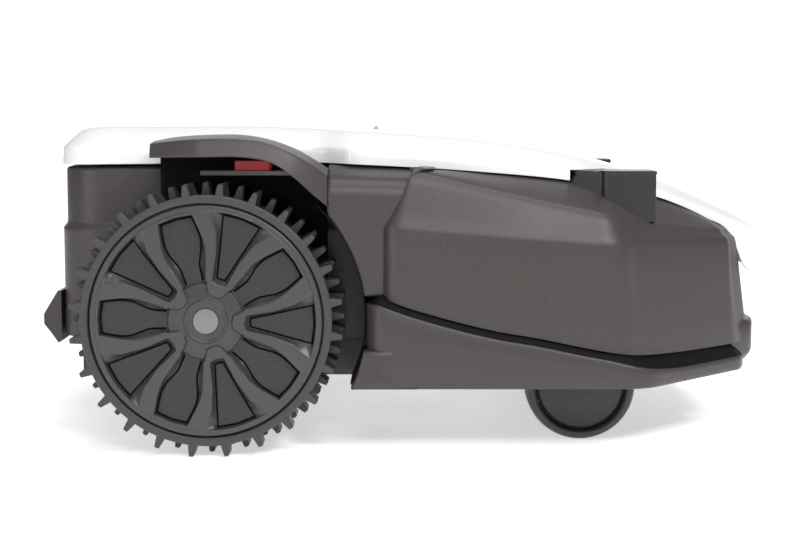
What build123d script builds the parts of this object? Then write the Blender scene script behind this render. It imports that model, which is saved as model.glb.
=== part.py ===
from build123d import *
import os
from math import asin, cos, hypot, radians, sin, sqrt

# Robotic lawn mower with two lugged drive wheels at the rear and two casters at the front.
# Frame: +X forwards, +Y to the left, +Z up, origin on the ground at the middle of the machine.

os.makedirs("parts", exist_ok=True)

# Fits between pieces
running_gap = 0.05
seam = 0.5
swing_gap = 2.0

# Walls
shell_wall = 3.0
skirt_wall = 4.0

# Drive wheels
wheel_radius = 128.0
wheel_width = 85.0
wheel_face_y = 265.0
lug_count = 24
lug_rows = 3
lug_height = 10.5
lug_root_width = 9.0
lug_tip_width = 4.0
lug_row_gap = 2.0
tyre_thickness = 17.5
cap_flange = 9.0
cap_thickness = 8.0
cap_relief = 3.0
spoke_count = 5
badge_radius = 12.0
badge_thickness = 1.5
shaft_radius = 8.0
shaft_grip = 24.0
rim_wall = 6.0
rim_web = 7.0
hub_radius = 22.0

# Body
rear_x = -344.0
front_x = 356.0
rear_overhang = 156.0
well_gap = 20.0
wheel_side_gap = 8.0
pod_inset = 15.0
pod_rear_gap = 14.0
panel_inset = 10.0
ledge = 8.0
ground_clearance = 63.0
rear_body_rise = 37.0
body_corner_radius = 30.0
front_corner_radius = 45.0

# Casters
caster_radius = 54.0
caster_width = 44.0
caster_trail = 22.0
caster_nose_gap = 165.0
caster_side_gap = 11.0
caster_axle_radius = 5.0
caster_stem_radius = 6.0
caster_tyre_thickness = 10.0
fork_plate = 5.0
fork_arm = 8.0
bush_wall = 4.0
bush_length = 34.0

# Cutting unit
disc_radius = 105.0
disc_thickness = 3.0
cut_height = 58.0
cut_travel = 40.0
chamber_gap = 18.0
blade_count = 3
blade_length = 34.0
blade_width = 18.0
blade_thickness = 1.0
blade_pivot_radius = 92.0
blade_screw_radius = 3.0
blade_screw_head = 5.0
cutter_motor_radius = 42.0
cutter_shaft_radius = 6.0
skid_radius = 62.0
skid_thickness = 3.0
rod_radius = 5.0
rod_spread = 78.0
carriage_thickness = 8.0

# Stop button and control lid
button_radius = 28.0
button_height = 12.0
button_travel = 4.0
button_gap = 0.6
button_inset = 84.0
lid_length = 110.0
lid_half_width = 60.0
lid_thickness = 3.0
lid_start = 26.0
lid_pin_radius = 1.5
knuckle_radius = 3.5
knuckle_inner = 15.0
knuckle_outer = 40.0

# Side sensors
sensor_length = 90.0
sensor_width = 46.0
sensor_height = 41.0
sensor_lid_thickness = 4.0
sensor_front_gap = 118.0

# Rear bumper, front bumper and charging contacts
bumper_depth = 18.0
bumper_height = 52.0
bumper_half_width = 150.0
lip_depth = 6.0
lip_height = 26.0
front_bumper_half_width = 112.0
tray_nose_gap = 30.0
contact_width = 22.0
contact_height = 12.0
contact_thickness = 1.5
contact_spread = 45.0

# Drive units, battery and electronics
gearmotor_radius = 30.0
gearmotor_length = 88.0
battery_length = 72.0
battery_half_width = 88.0
battery_height = 66.0
board_length = 130.0
board_thickness = 2.0
post_radius = 4.0
post_height = 12.0

# Worked out from the sizes above
axle_x = rear_x + rear_overhang
axle_z = wheel_radius
well_radius = wheel_radius + well_gap
wheel_inner_y = wheel_face_y - wheel_width
rear_half = wheel_inner_y - wheel_side_gap
pod_half = wheel_face_y - pod_inset
panel_half = pod_half - panel_inset
skirt_half = pod_half + ledge
fender_half = pod_half + ledge - seam
cover_half = rear_half + 23.0
deck_z = axle_z + well_radius - 4.0
pod_rear_x = axle_x + well_radius + pod_rear_gap
panel_rear_x = axle_x + sqrt(well_radius ** 2 - (well_radius - 51.0) ** 2)
pod_span = front_x - pod_rear_x
top_z = deck_z + 37.0
nose_x = front_x + lip_depth
tray_half = pod_half - shell_wall - 3.0
tray_front_x = front_x - tray_nose_gap
tray_floor_z = ground_clearance + shell_wall
caster_sweep = hypot(caster_trail + caster_radius, caster_width / 2)
caster_y = skirt_half - skirt_wall - caster_side_gap - caster_sweep
stem_x = front_x - caster_nose_gap
caster_x = stem_x - caster_trail
fork_plate_z = 2 * caster_radius + swing_gap
well_top_z = fork_plate_z + fork_plate + swing_gap
tray_top_z = well_top_z + shell_wall + bush_length
caster_well_radius = caster_sweep + swing_gap
cutter_x = (axle_x + stem_x) / 2
disc_z = cut_height + blade_thickness + swing_gap
chamber_radius = disc_radius + chamber_gap
chamber_top_z = disc_z + disc_thickness + 40.0
motor_z = disc_z + disc_thickness + 8.0
carriage_z = chamber_top_z + shell_wall + cut_travel + swing_gap
bridge_z = carriage_z + carriage_thickness + 30.0
tyre_outer = wheel_radius - lug_height
tyre_inner = tyre_outer - tyre_thickness
cap_radius = tyre_outer - cap_flange
lug_root = tyre_outer - 1.0


def station(share):
    """X of a point that lies this share of the way along the pods"""
    return pod_rear_x + share * pod_span


def save(piece, name):
    """Label a finished piece and write it as its own node"""
    piece.part.label = name
    export_step(piece.part, f"parts/{name}.step")


def save_pair(piece, name):
    """Write a right-hand piece and its mirror image for the left side"""
    with BuildPart() as twin:
        mirror(piece.part, about=Plane.XZ)
    save(piece, f"{name}_right")
    save(twin, f"{name}_left")


def side_plane(y, x=0.0, z=0.0):
    """Upright plane at distance y to the right, drawn in X and Z, with its normal pointing outwards"""
    return Plane(origin=(x, -y, z), x_dir=(1, 0, 0), z_dir=(0, -1, 0))


def front_plan(half_width, corner_setback, grow=0.0, start_x=None, start_radius=body_corner_radius):
    """Plan outline of the wide front part: straight sides, cut corners and a blunt nose"""
    corner_x = front_x - corner_setback
    half = [
        (pod_rear_x if start_x is None else start_x, half_width),
        (corner_x, half_width),
        (front_x - corner_setback / 6, half_width - 117.0),
        (front_x - corner_setback / 16, 70.0),
        (front_x, 28.0),
    ]
    mirrored = [(x, -y) for x, y in reversed(half)]
    with BuildSketch() as plan:
        with BuildLine():
            Polyline(*half, *mirrored, close=True)
        make_face()
        fillet(plan.vertices().filter_by(lambda v: v.X < corner_x - 1), start_radius)
        fillet(plan.vertices().filter_by(lambda v: v.X > corner_x - 1), front_corner_radius)
        if grow:
            offset(amount=grow, mode=Mode.REPLACE)
    return plan.sketch


def side_profile(points):
    """Closed face on the machine's middle plane, drawn in X and Z"""
    with BuildSketch(Plane.XZ) as profile:
        with BuildLine():
            Polyline(*points, close=True)
        make_face()
    return profile.sketch


# Edge lines of the body in side view, from the rear forwards
pod_bottom = [
    (station(0.0), ground_clearance + 84.0),
    (station(0.275), ground_clearance + 54.0),
    (station(0.516), ground_clearance + 36.0),
    (station(0.66), ground_clearance + 27.0),
    (front_x + ledge, ground_clearance + 25.0),
]
deck_line = [
    (station(0.08), deck_z - 2.0),
    (station(0.23), deck_z - 16.0),
    (station(0.474), deck_z - 34.0),
    (station(0.644), deck_z - 46.0),
    (station(0.76), deck_z - 54.0),
    (station(0.915), deck_z - 67.0),
]
cover_edge = [
    (rear_x - 1.0, deck_z),
    (station(-0.14), deck_z),
    (station(0.047), deck_z - 4.0),
    (station(0.249), deck_z - 9.0),
    (station(0.487), deck_z - 18.0),
    (station(0.712), deck_z - 35.0),
    (station(0.861), deck_z - 59.0),
    (station(0.97), ground_clearance + 94.0),
    (nose_x, ground_clearance + 103.0),
]
cover_crown = [
    (nose_x, deck_z - 73.0),
    (station(0.982), deck_z - 58.0),
    (station(0.733), deck_z - 18.0),
    (station(0.513), deck_z + 6.0),
    (station(0.259), deck_z + 23.0),
    (station(-0.086), deck_z + 33.0),
    (rear_x + 199.0, top_z),
    (rear_x + 22.0, top_z - 1.5),
    (rear_x - 1.0, deck_z + 14.0),
]

# Cover outline as a solid, used for the cover and to seat it in the body
cover_plan = [
    (rear_x, rear_half - 8.0),
    (rear_x + 12.0, rear_half),
    (panel_rear_x, rear_half),
    (panel_rear_x + 24.0, cover_half),
    (station(0.5), cover_half - 6.0),
    (station(0.78), 118.0),
    (nose_x, 92.0),
]
crown_section = [
    (rear_half + 40.0, 0.0),
    (rear_half + 40.0, deck_z + 2.0),
    (rear_half, deck_z + 15.0),
    (rear_half - 30.0, top_z + 1.0),
]


def cover_solid(inset):
    """Solid bounded by the cover's outline, side view and crown, drawn this far inside its skin"""
    half = list(cover_plan)
    mirrored = [(x, -y) for x, y in reversed(half)]
    low = side_profile(cover_edge + cover_crown)
    with BuildSketch(Plane.YZ) as section:
        with BuildLine():
            Polyline(*crown_section, *[(-y, z) for y, z in reversed(crown_section)], close=True)
        make_face()
        offset(amount=-inset, mode=Mode.REPLACE)
    with BuildPart() as solid:
        with BuildSketch() as plan:
            with BuildLine():
                Polyline(*half, *mirrored, close=True)
            make_face()
            if inset:
                offset(amount=-inset, mode=Mode.REPLACE)
        extrude(amount=top_z)
        with BuildSketch(Plane.XZ):
            add(low)
            if inset:
                offset(amount=-inset, mode=Mode.REPLACE)
        extrude(amount=cover_half + ledge, both=True, mode=Mode.INTERSECT)
        extrude(section.sketch, amount=nose_x - rear_x, both=True, mode=Mode.INTERSECT)
    return solid.part


cover_outer = cover_solid(0.0)
cover_inner = cover_solid(shell_wall)

# Side sensor block, sunk into the deck beside the cover
sensor_front_x = front_x - sensor_front_gap
sensor_rear_x = sensor_front_x - sensor_length
sensor_outer_y = cover_half + 2.0
sensor_inner_y = sensor_outer_y - sensor_width
sensor_top_z = deck_z - 7.0
sensor_bottom_z = sensor_top_z - sensor_height - 8.0
sensor_view = [
    (sensor_rear_x + 10.0, sensor_top_z),
    (sensor_front_x, sensor_top_z - 1.0),
    (sensor_front_x + 1.0, sensor_bottom_z),
    (sensor_rear_x, sensor_bottom_z),
]
with BuildPart() as sensor_block:
    with BuildSketch(side_plane(sensor_inner_y)):
        with BuildLine():
            Polyline(*sensor_view, close=True)
        make_face()
    extrude(amount=sensor_width)

with BuildPart() as sensor_pair:
    add(sensor_block.part)
    mirror(sensor_block.part, about=Plane.XZ)

# Stop button well and control lid plane on the cover
button_x = rear_x + button_inset
button_top_z = top_z - 1.0
crown_a = cover_crown[5]
crown_b = cover_crown[4]
crown_run = hypot(crown_b[0] - crown_a[0], crown_a[1] - crown_b[1])
crown_slope = asin((crown_a[1] - crown_b[1]) / crown_run)
lid_origin = (
    crown_a[0] + lid_start * cos(crown_slope),
    0.0,
    crown_a[1] - lid_start * sin(crown_slope),
)
lid_plane = Plane(
    origin=lid_origin,
    x_dir=(cos(crown_slope), 0, -sin(crown_slope)),
    z_dir=(sin(crown_slope), 0, cos(crown_slope)),
)
hinge_plane = Plane(origin=lid_origin, x_dir=(1, 0, 0), z_dir=(0, -1, 0))


def hinge_barrel(from_y, to_y, radius, bore=0.0):
    """Round barrel on the lid's hinge line, from one Y to another on the right side"""
    with BuildPart() as barrel:
        with BuildSketch(hinge_plane.offset(from_y)):
            Circle(radius)
            if bore:
                Circle(bore, mode=Mode.SUBTRACT)
        extrude(amount=to_y - from_y)
    return barrel.part


# White top cover: thin skin with the nose tongue, the button hole and the lid opening
with BuildPart() as top_cover:
    add(cover_outer)
    add(cover_inner, mode=Mode.SUBTRACT)
    with BuildSketch(Plane.XZ):
        with BuildLine():
            lifted = [(x, z + shell_wall + 0.2) for x, z in cover_edge[:7]]
            dropped = [(x, z - 20.0) for x, z in reversed(cover_edge[:7])]
            Polyline(*lifted, *dropped, close=True)
        make_face()
    extrude(amount=rear_half - 12.0, both=True, mode=Mode.SUBTRACT)
    with BuildSketch(Plane.XY.offset(deck_z + 12.0)):
        with Locations((button_x, 0)):
            Circle(button_radius + button_gap + shell_wall)
    extrude(amount=60.0, mode=Mode.SUBTRACT)
    with BuildSketch(lid_plane.offset(-12.0)):
        with Locations((lid_length / 2, 0)):
            Rectangle(lid_length + 2 * seam, 2 * lid_half_width + 2 * seam)
    extrude(amount=30.0, mode=Mode.SUBTRACT)
    hinge_relief = hinge_barrel(-knuckle_outer - 2.0, knuckle_outer + 2.0, knuckle_radius + 1.0)
    add(hinge_relief, mode=Mode.SUBTRACT)
    add(sensor_pair.part, mode=Mode.SUBTRACT)
save(top_cover, "top_cover")

# Smoked window set in the nose tongue
window_half = 46.0
window_height = 18.0
window_z = ground_clearance + 122.0
with BuildPart() as nose_window:
    with BuildSketch(Plane.YZ.offset(nose_x)):
        with Locations((0, window_z)):
            RectangleRounded(2 * window_half, window_height, 6.0)
    extrude(amount=0.8)
save(nose_window, "nose_window")

# Inner space of the dark body, kept clear of the wheel wells
with BuildPart() as body_cavity:
    with BuildSketch(Plane.XY.offset(-5.0)):
        add(front_plan(pod_half, 156.0, -shell_wall))
    extrude(amount=deck_z - shell_wall + 5.0)
    with BuildSketch(Plane.XZ):
        with BuildLine():
            inner_deck = [(x, z - shell_wall) for x, z in deck_line]
            Polyline(
                (pod_rear_x, 0),
                (pod_rear_x, deck_z - shell_wall),
                *inner_deck,
                (front_x - 6.0, ground_clearance),
                (front_x - 6.0, 0),
                close=True,
            )
        make_face()
    extrude(amount=pod_half, both=True, mode=Mode.INTERSECT)
    with BuildSketch(Plane.XY.offset(-5.0)):
        with Locations(((rear_x + pod_rear_x + 60.0) / 2, 0)):
            RectangleRounded(
                pod_rear_x + 60.0 - rear_x - 2 * shell_wall,
                2 * (rear_half - shell_wall),
                body_corner_radius - shell_wall,
            )
        with Locations(((panel_rear_x + shell_wall + pod_rear_x + 60.0) / 2, 0)):
            Rectangle(pod_rear_x + 60.0 - panel_rear_x - shell_wall, 2 * (panel_half - shell_wall))
    extrude(amount=deck_z - shell_wall - 12.0 + 5.0)
    with BuildSketch(Plane.XY.offset(deck_z - 40.0)):
        with Locations(((rear_x + pod_rear_x) / 2, 0)):
            RectangleRounded(
                pod_rear_x - rear_x - 2 * shell_wall,
                2 * (rear_half - shell_wall),
                body_corner_radius - shell_wall,
            )
    extrude(amount=60.0)
    with BuildSketch(side_plane(rear_half - shell_wall, axle_x, axle_z)):
        Circle(well_radius + shell_wall)
    extrude(amount=pod_half, mode=Mode.SUBTRACT)
    with BuildSketch(side_plane(-pod_half - rear_half + shell_wall, axle_x, axle_z)):
        Circle(well_radius + shell_wall)
    extrude(amount=pod_half, mode=Mode.SUBTRACT)

# Dark body shell: rear box, side panels beside the wheel wells, pods and front
with BuildPart() as body_shell:
    with BuildSketch():
        add(front_plan(pod_half, 156.0))
    extrude(amount=deck_z)
    with BuildSketch(Plane.XZ):
        with BuildLine():
            Polyline(
                *pod_bottom,
                (front_x - 2.0, ground_clearance + 52.0),
                (front_x - 12.0, ground_clearance + 94.0),
                (station(0.915) + 2.0, deck_z - 67.0),
                *reversed(deck_line),
                (station(0.0), deck_z - 56.0),
                close=True,
            )
        make_face()
    extrude(amount=pod_half, both=True, mode=Mode.INTERSECT)
    with BuildSketch(Plane.XY.offset(ground_clearance + rear_body_rise)):
        with Locations(((rear_x + pod_rear_x) / 2, 0)):
            RectangleRounded(pod_rear_x - rear_x, 2 * rear_half, body_corner_radius)
        with Locations(((rear_x + body_corner_radius + pod_rear_x + 60.0) / 2, 0)):
            Rectangle(pod_rear_x + 60.0 - rear_x - body_corner_radius * 2, 2 * rear_half)
    extrude(amount=deck_z - ground_clearance - rear_body_rise)
    with BuildSketch(Plane.XY.offset(pod_bottom[0][1])):
        with Locations(((panel_rear_x + pod_rear_x + 40.0) / 2, 0)):
            Rectangle(pod_rear_x + 40.0 - panel_rear_x, 2 * panel_half)
    extrude(amount=deck_z - 12.0 - pod_bottom[0][1])
    add(body_cavity.part, mode=Mode.SUBTRACT)
    for start_y in (rear_half, -pod_half - rear_half):
        with BuildSketch(side_plane(start_y, axle_x, axle_z)):
            Circle(well_radius)
        extrude(amount=pod_half, mode=Mode.SUBTRACT)
    with BuildSketch(side_plane(-pod_half, axle_x, axle_z)):
        Circle(shaft_radius * 2)
    extrude(amount=2 * pod_half, mode=Mode.SUBTRACT)
    add(cover_outer, mode=Mode.SUBTRACT)
    add(sensor_pair.part, mode=Mode.SUBTRACT)
save(body_shell, "body_shell")

# Side skirts: a proud wall below the pods, with a ledge that closes the step
skirt_rear_x = axle_x + sqrt(well_radius ** 2 - (axle_z - ground_clearance) ** 2) - 1.0
skirt_plan = front_plan(skirt_half, 134.0, start_x=skirt_rear_x, start_radius=12.0)
skirt_top = [(skirt_rear_x - 5.0, pod_bottom[0][1] - seam)] + [(x, z - seam) for x, z in pod_bottom]
skirt_reach = nose_x + ledge
skirt_view = [(skirt_rear_x - 5.0, ground_clearance), (skirt_reach, ground_clearance)]
ledge_low = [(x, z - shell_wall) for x, z in skirt_top]
with BuildPart() as skirt_ledge:
    with BuildSketch():
        add(skirt_plan)
        offset(skirt_plan, amount=-(ledge + shell_wall / 2), mode=Mode.SUBTRACT)
    extrude(amount=deck_z)
    with BuildSketch(Plane.XZ):
        with BuildLine():
            Polyline(*skirt_top, *reversed(ledge_low), close=True)
        make_face()
    extrude(amount=skirt_half, both=True, mode=Mode.INTERSECT)

with BuildPart() as side_skirt:
    with BuildSketch():
        add(skirt_plan)
        offset(skirt_plan, amount=-skirt_wall, mode=Mode.SUBTRACT)
    extrude(amount=deck_z)
    with BuildSketch(Plane.XZ):
        with BuildLine():
            Polyline(*skirt_view, *reversed(skirt_top), close=True)
        make_face()
    extrude(amount=skirt_half, both=True, mode=Mode.INTERSECT)
    add(skirt_ledge.part)
    with BuildSketch(side_plane(0, axle_x, axle_z)):
        Circle(well_radius)
    extrude(amount=skirt_half, mode=Mode.SUBTRACT)
    with BuildSketch():
        with Locations((0, skirt_half - front_bumper_half_width - seam)):
            Rectangle(2 * skirt_reach, 2 * skirt_half)
        with Locations((pod_rear_x, 0)):
            Rectangle(80.0, 2 * (tray_half + seam))
    extrude(amount=deck_z, mode=Mode.SUBTRACT)
save_pair(side_skirt, "side_skirt")

# Front bumper: a low plate behind a protruding lip, between the two skirts
lip_z = ground_clearance + 14.0
lip_top_z = lip_z + lip_height
contact_z = lip_z + lip_height / 2
contact_face_x = nose_x - 1.0
front_bumper_view = [
    (tray_front_x + seam, ground_clearance + 3.0),
    (front_x - seam, ground_clearance + 3.0),
    (nose_x, lip_z),
    (nose_x, lip_top_z),
    (front_x + seam, lip_top_z),
    (front_x + seam, pod_bottom[4][1] - seam),
    (tray_front_x + seam, pod_bottom[4][1] - seam),
]
with BuildPart() as front_bumper:
    with BuildSketch(Plane.XZ):
        with BuildLine():
            Polyline(*front_bumper_view, close=True)
        make_face()
    extrude(amount=front_bumper_half_width, both=True)
    with BuildSketch(Plane.YZ.offset(contact_face_x - contact_thickness)):
        with Locations((-contact_spread, contact_z), (contact_spread, contact_z)):
            Rectangle(contact_width, contact_height)
    extrude(amount=10.0, mode=Mode.SUBTRACT)
save(front_bumper, "front_bumper")

with BuildPart() as charge_contact:
    with BuildSketch(Plane.YZ.offset(contact_face_x - contact_thickness)):
        with Locations((-contact_spread, contact_z)):
            Rectangle(contact_width, contact_height)
    extrude(amount=contact_thickness)
save_pair(charge_contact, "charge_contact")

# Fenders: a thin roof over each drive wheel with a deep outer lip
fender_rear_x = axle_x - 53.0
fender_front_x = panel_rear_x - seam
fender_top_z = deck_z + 21.0
fender_arc_z = fender_top_z + 2.0
fender_fall = 36.0
fender_upper = [
    (fender_rear_x, fender_top_z),
    (axle_x + 2.0, fender_arc_z),
    (axle_x + 44.0, fender_arc_z - 1.0),
    (axle_x + 78.0, fender_top_z - 9.0),
    (fender_front_x, fender_top_z - fender_fall),
]
fender_lower = [
    (fender_rear_x, fender_top_z - 14.0),
    (axle_x + 42.0, fender_top_z - 14.0),
    (axle_x + 74.0, fender_top_z - 25.0),
    (axle_x + 92.0, fender_top_z - 41.0),
    (fender_front_x, fender_top_z - 61.0),
]
with BuildPart() as fender:
    with BuildSketch(side_plane(rear_half + seam)):
        with BuildLine():
            roof_low = [(x, z - shell_wall) for x, z in fender_upper]
            Polyline(*fender_upper, *reversed(roof_low), close=True)
        make_face()
    extrude(amount=fender_half - rear_half - seam)
    with BuildSketch(side_plane(fender_half - shell_wall)):
        with BuildLine():
            Polyline(*fender_upper, *reversed(fender_lower), close=True)
        make_face()
    extrude(amount=shell_wall)
    with BuildSketch(side_plane(rear_half + seam)):
        with Locations((fender_rear_x + shell_wall / 2, fender_top_z - 16.0)):
            Rectangle(shell_wall, 30.0)
    extrude(amount=fender_half - rear_half - seam)
save_pair(fender, "fender")

# Rear bumper block below the rear face
rear_bumper_z = ground_clearance + 29.0
rear_tip_x = rear_x - bumper_depth
rear_bumper_view = [
    (rear_x - seam, rear_bumper_z + bumper_height),
    (rear_x - 4.0, rear_bumper_z + bumper_height),
    (rear_tip_x, rear_bumper_z + 29.0),
    (rear_tip_x, rear_bumper_z + 19.0),
    (rear_tip_x + 7.0, rear_bumper_z + 10.0),
    (rear_tip_x + 14.0, rear_bumper_z),
    (rear_x - seam, rear_bumper_z + 2.0),
]
with BuildPart() as rear_bumper:
    with BuildSketch(Plane.XZ):
        with BuildLine():
            Polyline(*rear_bumper_view, close=True)
        make_face()
    extrude(amount=bumper_half_width, both=True)
    fillet(rear_bumper.edges().filter_by(Axis.Y).sort_by(Axis.X)[:2], 3.0)
save(rear_bumper, "rear_bumper")

# Side sensor housings with separate lids
with BuildPart() as sensor_housing:
    add(sensor_block.part)
    with BuildSketch(side_plane(sensor_inner_y + shell_wall)):
        with BuildLine():
            Polyline(
                (sensor_rear_x + 14.0, sensor_top_z - sensor_lid_thickness - shell_wall),
                (sensor_front_x - 6.0, sensor_top_z - sensor_lid_thickness - shell_wall),
                (sensor_front_x - 6.0, sensor_bottom_z - 1.0),
                (sensor_rear_x + 14.0, sensor_bottom_z - 1.0),
                close=True,
            )
        make_face()
    extrude(amount=sensor_width - 2 * shell_wall, mode=Mode.SUBTRACT)
    with BuildSketch(Plane.XY.offset(sensor_top_z - sensor_lid_thickness)):
        with Locations((sensor_front_x - sensor_length / 2, -sensor_outer_y + sensor_width / 2)):
            Rectangle(2 * sensor_length, 2 * sensor_width)
    extrude(amount=20.0, mode=Mode.SUBTRACT)
save_pair(sensor_housing, "sensor_housing")

with BuildPart() as sensor_lid:
    add(sensor_block.part)
    with BuildSketch(Plane.XY.offset(0)):
        with Locations((sensor_front_x - sensor_length / 2, -sensor_outer_y + sensor_width / 2)):
            Rectangle(2 * sensor_length, 2 * sensor_width)
    extrude(amount=sensor_top_z - sensor_lid_thickness + 0.1, mode=Mode.SUBTRACT)
save_pair(sensor_lid, "sensor_lid")

# Chassis tray: floor and walls, domes over the casters and the cutting chamber
stem_spots = [(stem_x, -caster_y), (stem_x, caster_y)]
tray_rear_x = rear_x + 24.0
tray_rear_half = rear_half - shell_wall - 1.0
tray_neck_x = pod_rear_x + body_corner_radius
rod_spots = [(cutter_x, -rod_spread), (cutter_x, rod_spread)]
board_x = tray_front_x - shell_wall - 6.0 - board_length / 2
board_half = caster_y - caster_well_radius - shell_wall - 6.0
post_spots = [
    (board_x + side_x * (board_length / 2 - 10.0), side_y * (board_half - 10.0))
    for side_x in (-1, 1)
    for side_y in (-1, 1)
]
with BuildSketch() as tray_wide:
    add(front_plan(pod_half, 156.0, tray_half - pod_half))
    with Locations((tray_front_x - pod_span, 0)):
        Rectangle(2 * pod_span, 2 * pod_half, mode=Mode.INTERSECT)

with BuildSketch() as tray_room:
    offset(tray_wide.sketch, amount=-shell_wall)

with BuildSketch() as well_plan:
    with Locations(*stem_spots):
        Circle(caster_well_radius + shell_wall)
    add(tray_wide.sketch, mode=Mode.INTERSECT)

with BuildPart() as chassis_tray:
    with BuildSketch(Plane.XY.offset(ground_clearance)):
        add(tray_wide.sketch)
        with Locations(((tray_rear_x + tray_neck_x) / 2, 0)):
            Rectangle(tray_neck_x - tray_rear_x, 2 * tray_rear_half)
    extrude(amount=tray_top_z - ground_clearance)
    with BuildSketch(Plane.XY.offset(tray_floor_z)):
        add(tray_room.sketch)
        with Locations(((tray_rear_x + tray_neck_x) / 2 + shell_wall, 0)):
            Rectangle(tray_neck_x - tray_rear_x, 2 * (tray_rear_half - shell_wall))
    extrude(amount=tray_top_z, mode=Mode.SUBTRACT)
    with BuildSketch(Plane.XY.offset(ground_clearance)):
        with Locations((cutter_x, 0)):
            Circle(chamber_radius + shell_wall)
    extrude(amount=chamber_top_z + shell_wall - ground_clearance)
    with BuildSketch(Plane.XY.offset(ground_clearance)):
        add(well_plan.sketch)
    extrude(amount=well_top_z + shell_wall - ground_clearance)
    with BuildSketch(Plane.XY.offset(ground_clearance)):
        with Locations(*stem_spots):
            Circle(caster_stem_radius + running_gap + bush_wall + 4.0)
    extrude(amount=tray_top_z - ground_clearance)
    with BuildSketch(Plane.XY.offset(ground_clearance)):
        with Locations(*post_spots):
            Circle(post_radius)
    extrude(amount=shell_wall + post_height)
    with BuildSketch(Plane.XY.offset(ground_clearance - 1.0)):
        with Locations(*stem_spots):
            Circle(caster_well_radius)
    extrude(amount=well_top_z - ground_clearance + 1.0, mode=Mode.SUBTRACT)
    with BuildSketch(Plane.XY.offset(ground_clearance - 1.0)):
        with Locations((cutter_x, 0)):
            Circle(chamber_radius)
    extrude(amount=chamber_top_z - ground_clearance + 1.0, mode=Mode.SUBTRACT)
    with BuildSketch(Plane.XY.offset(ground_clearance - 1.0)):
        with Locations((cutter_x, 0)):
            Circle(cutter_motor_radius + 6.0)
        with Locations(*stem_spots):
            Circle(caster_stem_radius + running_gap + bush_wall)
    extrude(amount=tray_top_z, mode=Mode.SUBTRACT)
    with BuildSketch(side_plane(-pod_half, axle_x, axle_z)):
        Circle(shaft_radius * 2)
    extrude(amount=2 * pod_half, mode=Mode.SUBTRACT)
save(chassis_tray, "chassis_tray")

# Caster bushes pressed into the tray's bosses
with BuildPart() as caster_bushes:
    with BuildSketch(Plane.XY.offset(well_top_z)):
        with Locations(*stem_spots):
            Circle(caster_stem_radius + running_gap + bush_wall)
            Circle(caster_stem_radius + running_gap, mode=Mode.SUBTRACT)
    extrude(amount=tray_top_z - well_top_z)
save(caster_bushes, "caster_bushes")

# Caster fork: top plate and one inner arm, with the steel stem and axle
fork_arm_y = caster_y - caster_width / 2 - swing_gap - fork_arm
with BuildPart() as caster_fork:
    with BuildSketch(Plane.XY.offset(fork_plate_z)):
        with Locations((stem_x, -caster_y)):
            Circle(18.0)
        with Locations(((stem_x + caster_x) / 2, -(caster_y + fork_arm_y) / 2)):
            Rectangle(caster_trail + 26.0, caster_y - fork_arm_y)
    extrude(amount=fork_plate)
    with BuildSketch(side_plane(fork_arm_y)):
        with BuildLine():
            Polyline(
                (stem_x + 13.0, fork_plate_z + fork_plate),
                (caster_x - 13.0, fork_plate_z + fork_plate),
                (caster_x - 11.0, caster_radius),
                (caster_x + 11.0, caster_radius),
                close=True,
            )
        make_face()
        with Locations((caster_x, caster_radius)):
            Circle(11.0)
            Circle(caster_axle_radius, mode=Mode.SUBTRACT)
    extrude(amount=fork_arm)
    with BuildSketch(Plane.XY.offset(fork_plate_z)):
        with Locations((stem_x, -caster_y)):
            Circle(caster_stem_radius)
    extrude(amount=fork_plate, mode=Mode.SUBTRACT)
save_pair(caster_fork, "caster_fork")

with BuildPart() as caster_stem:
    with BuildSketch(Plane.XY.offset(fork_plate_z)):
        with Locations((stem_x, -caster_y)):
            Circle(caster_stem_radius)
    extrude(amount=tray_top_z - fork_plate_z + 1.0)
    with BuildSketch(Plane.XY.offset(tray_top_z + 1.0)):
        with Locations((stem_x, -caster_y)):
            Circle(caster_stem_radius + 4.0)
    extrude(amount=3.0)
save_pair(caster_stem, "caster_stem")

caster_outer_y = caster_y + caster_width / 2
hub_outer_radius = caster_radius - caster_tyre_thickness
axle_end_y = caster_outer_y - 8.0
with BuildPart() as caster_axle:
    with BuildSketch(side_plane(fork_arm_y, caster_x, caster_radius)):
        Circle(caster_axle_radius)
    extrude(amount=axle_end_y - fork_arm_y)
save_pair(caster_axle, "caster_axle")

with BuildPart() as caster_hub:
    with BuildSketch(side_plane(caster_outer_y - caster_width + 4.0, caster_x, caster_radius)):
        Circle(hub_outer_radius)
    extrude(amount=caster_width - 8.0)
    with BuildSketch(side_plane(caster_outer_y - 4.0, caster_x, caster_radius)):
        Circle(hub_outer_radius - 2.0)
    extrude(amount=4.0, taper=50.0)
    with BuildSketch(side_plane(fork_arm_y, caster_x, caster_radius)):
        Circle(caster_axle_radius + running_gap)
    extrude(amount=axle_end_y - fork_arm_y + seam, mode=Mode.SUBTRACT)
save_pair(caster_hub, "caster_hub")

with BuildPart() as caster_tyre:
    with BuildSketch(side_plane(caster_outer_y - caster_width, caster_x, caster_radius)):
        Circle(caster_radius)
        Circle(hub_outer_radius, mode=Mode.SUBTRACT)
    extrude(amount=caster_width)
    rims = caster_tyre.edges().filter_by(GeomType.CIRCLE)
    fillet(rims.filter_by(lambda e: e.radius > caster_radius - 0.1), 8.0)
    chamfer(
        caster_tyre.edges().filter_by(GeomType.CIRCLE).filter_by(
            lambda e: e.radius < hub_outer_radius + 0.1
        ),
        1.0,
    )
save_pair(caster_tyre, "caster_tyre")

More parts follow.
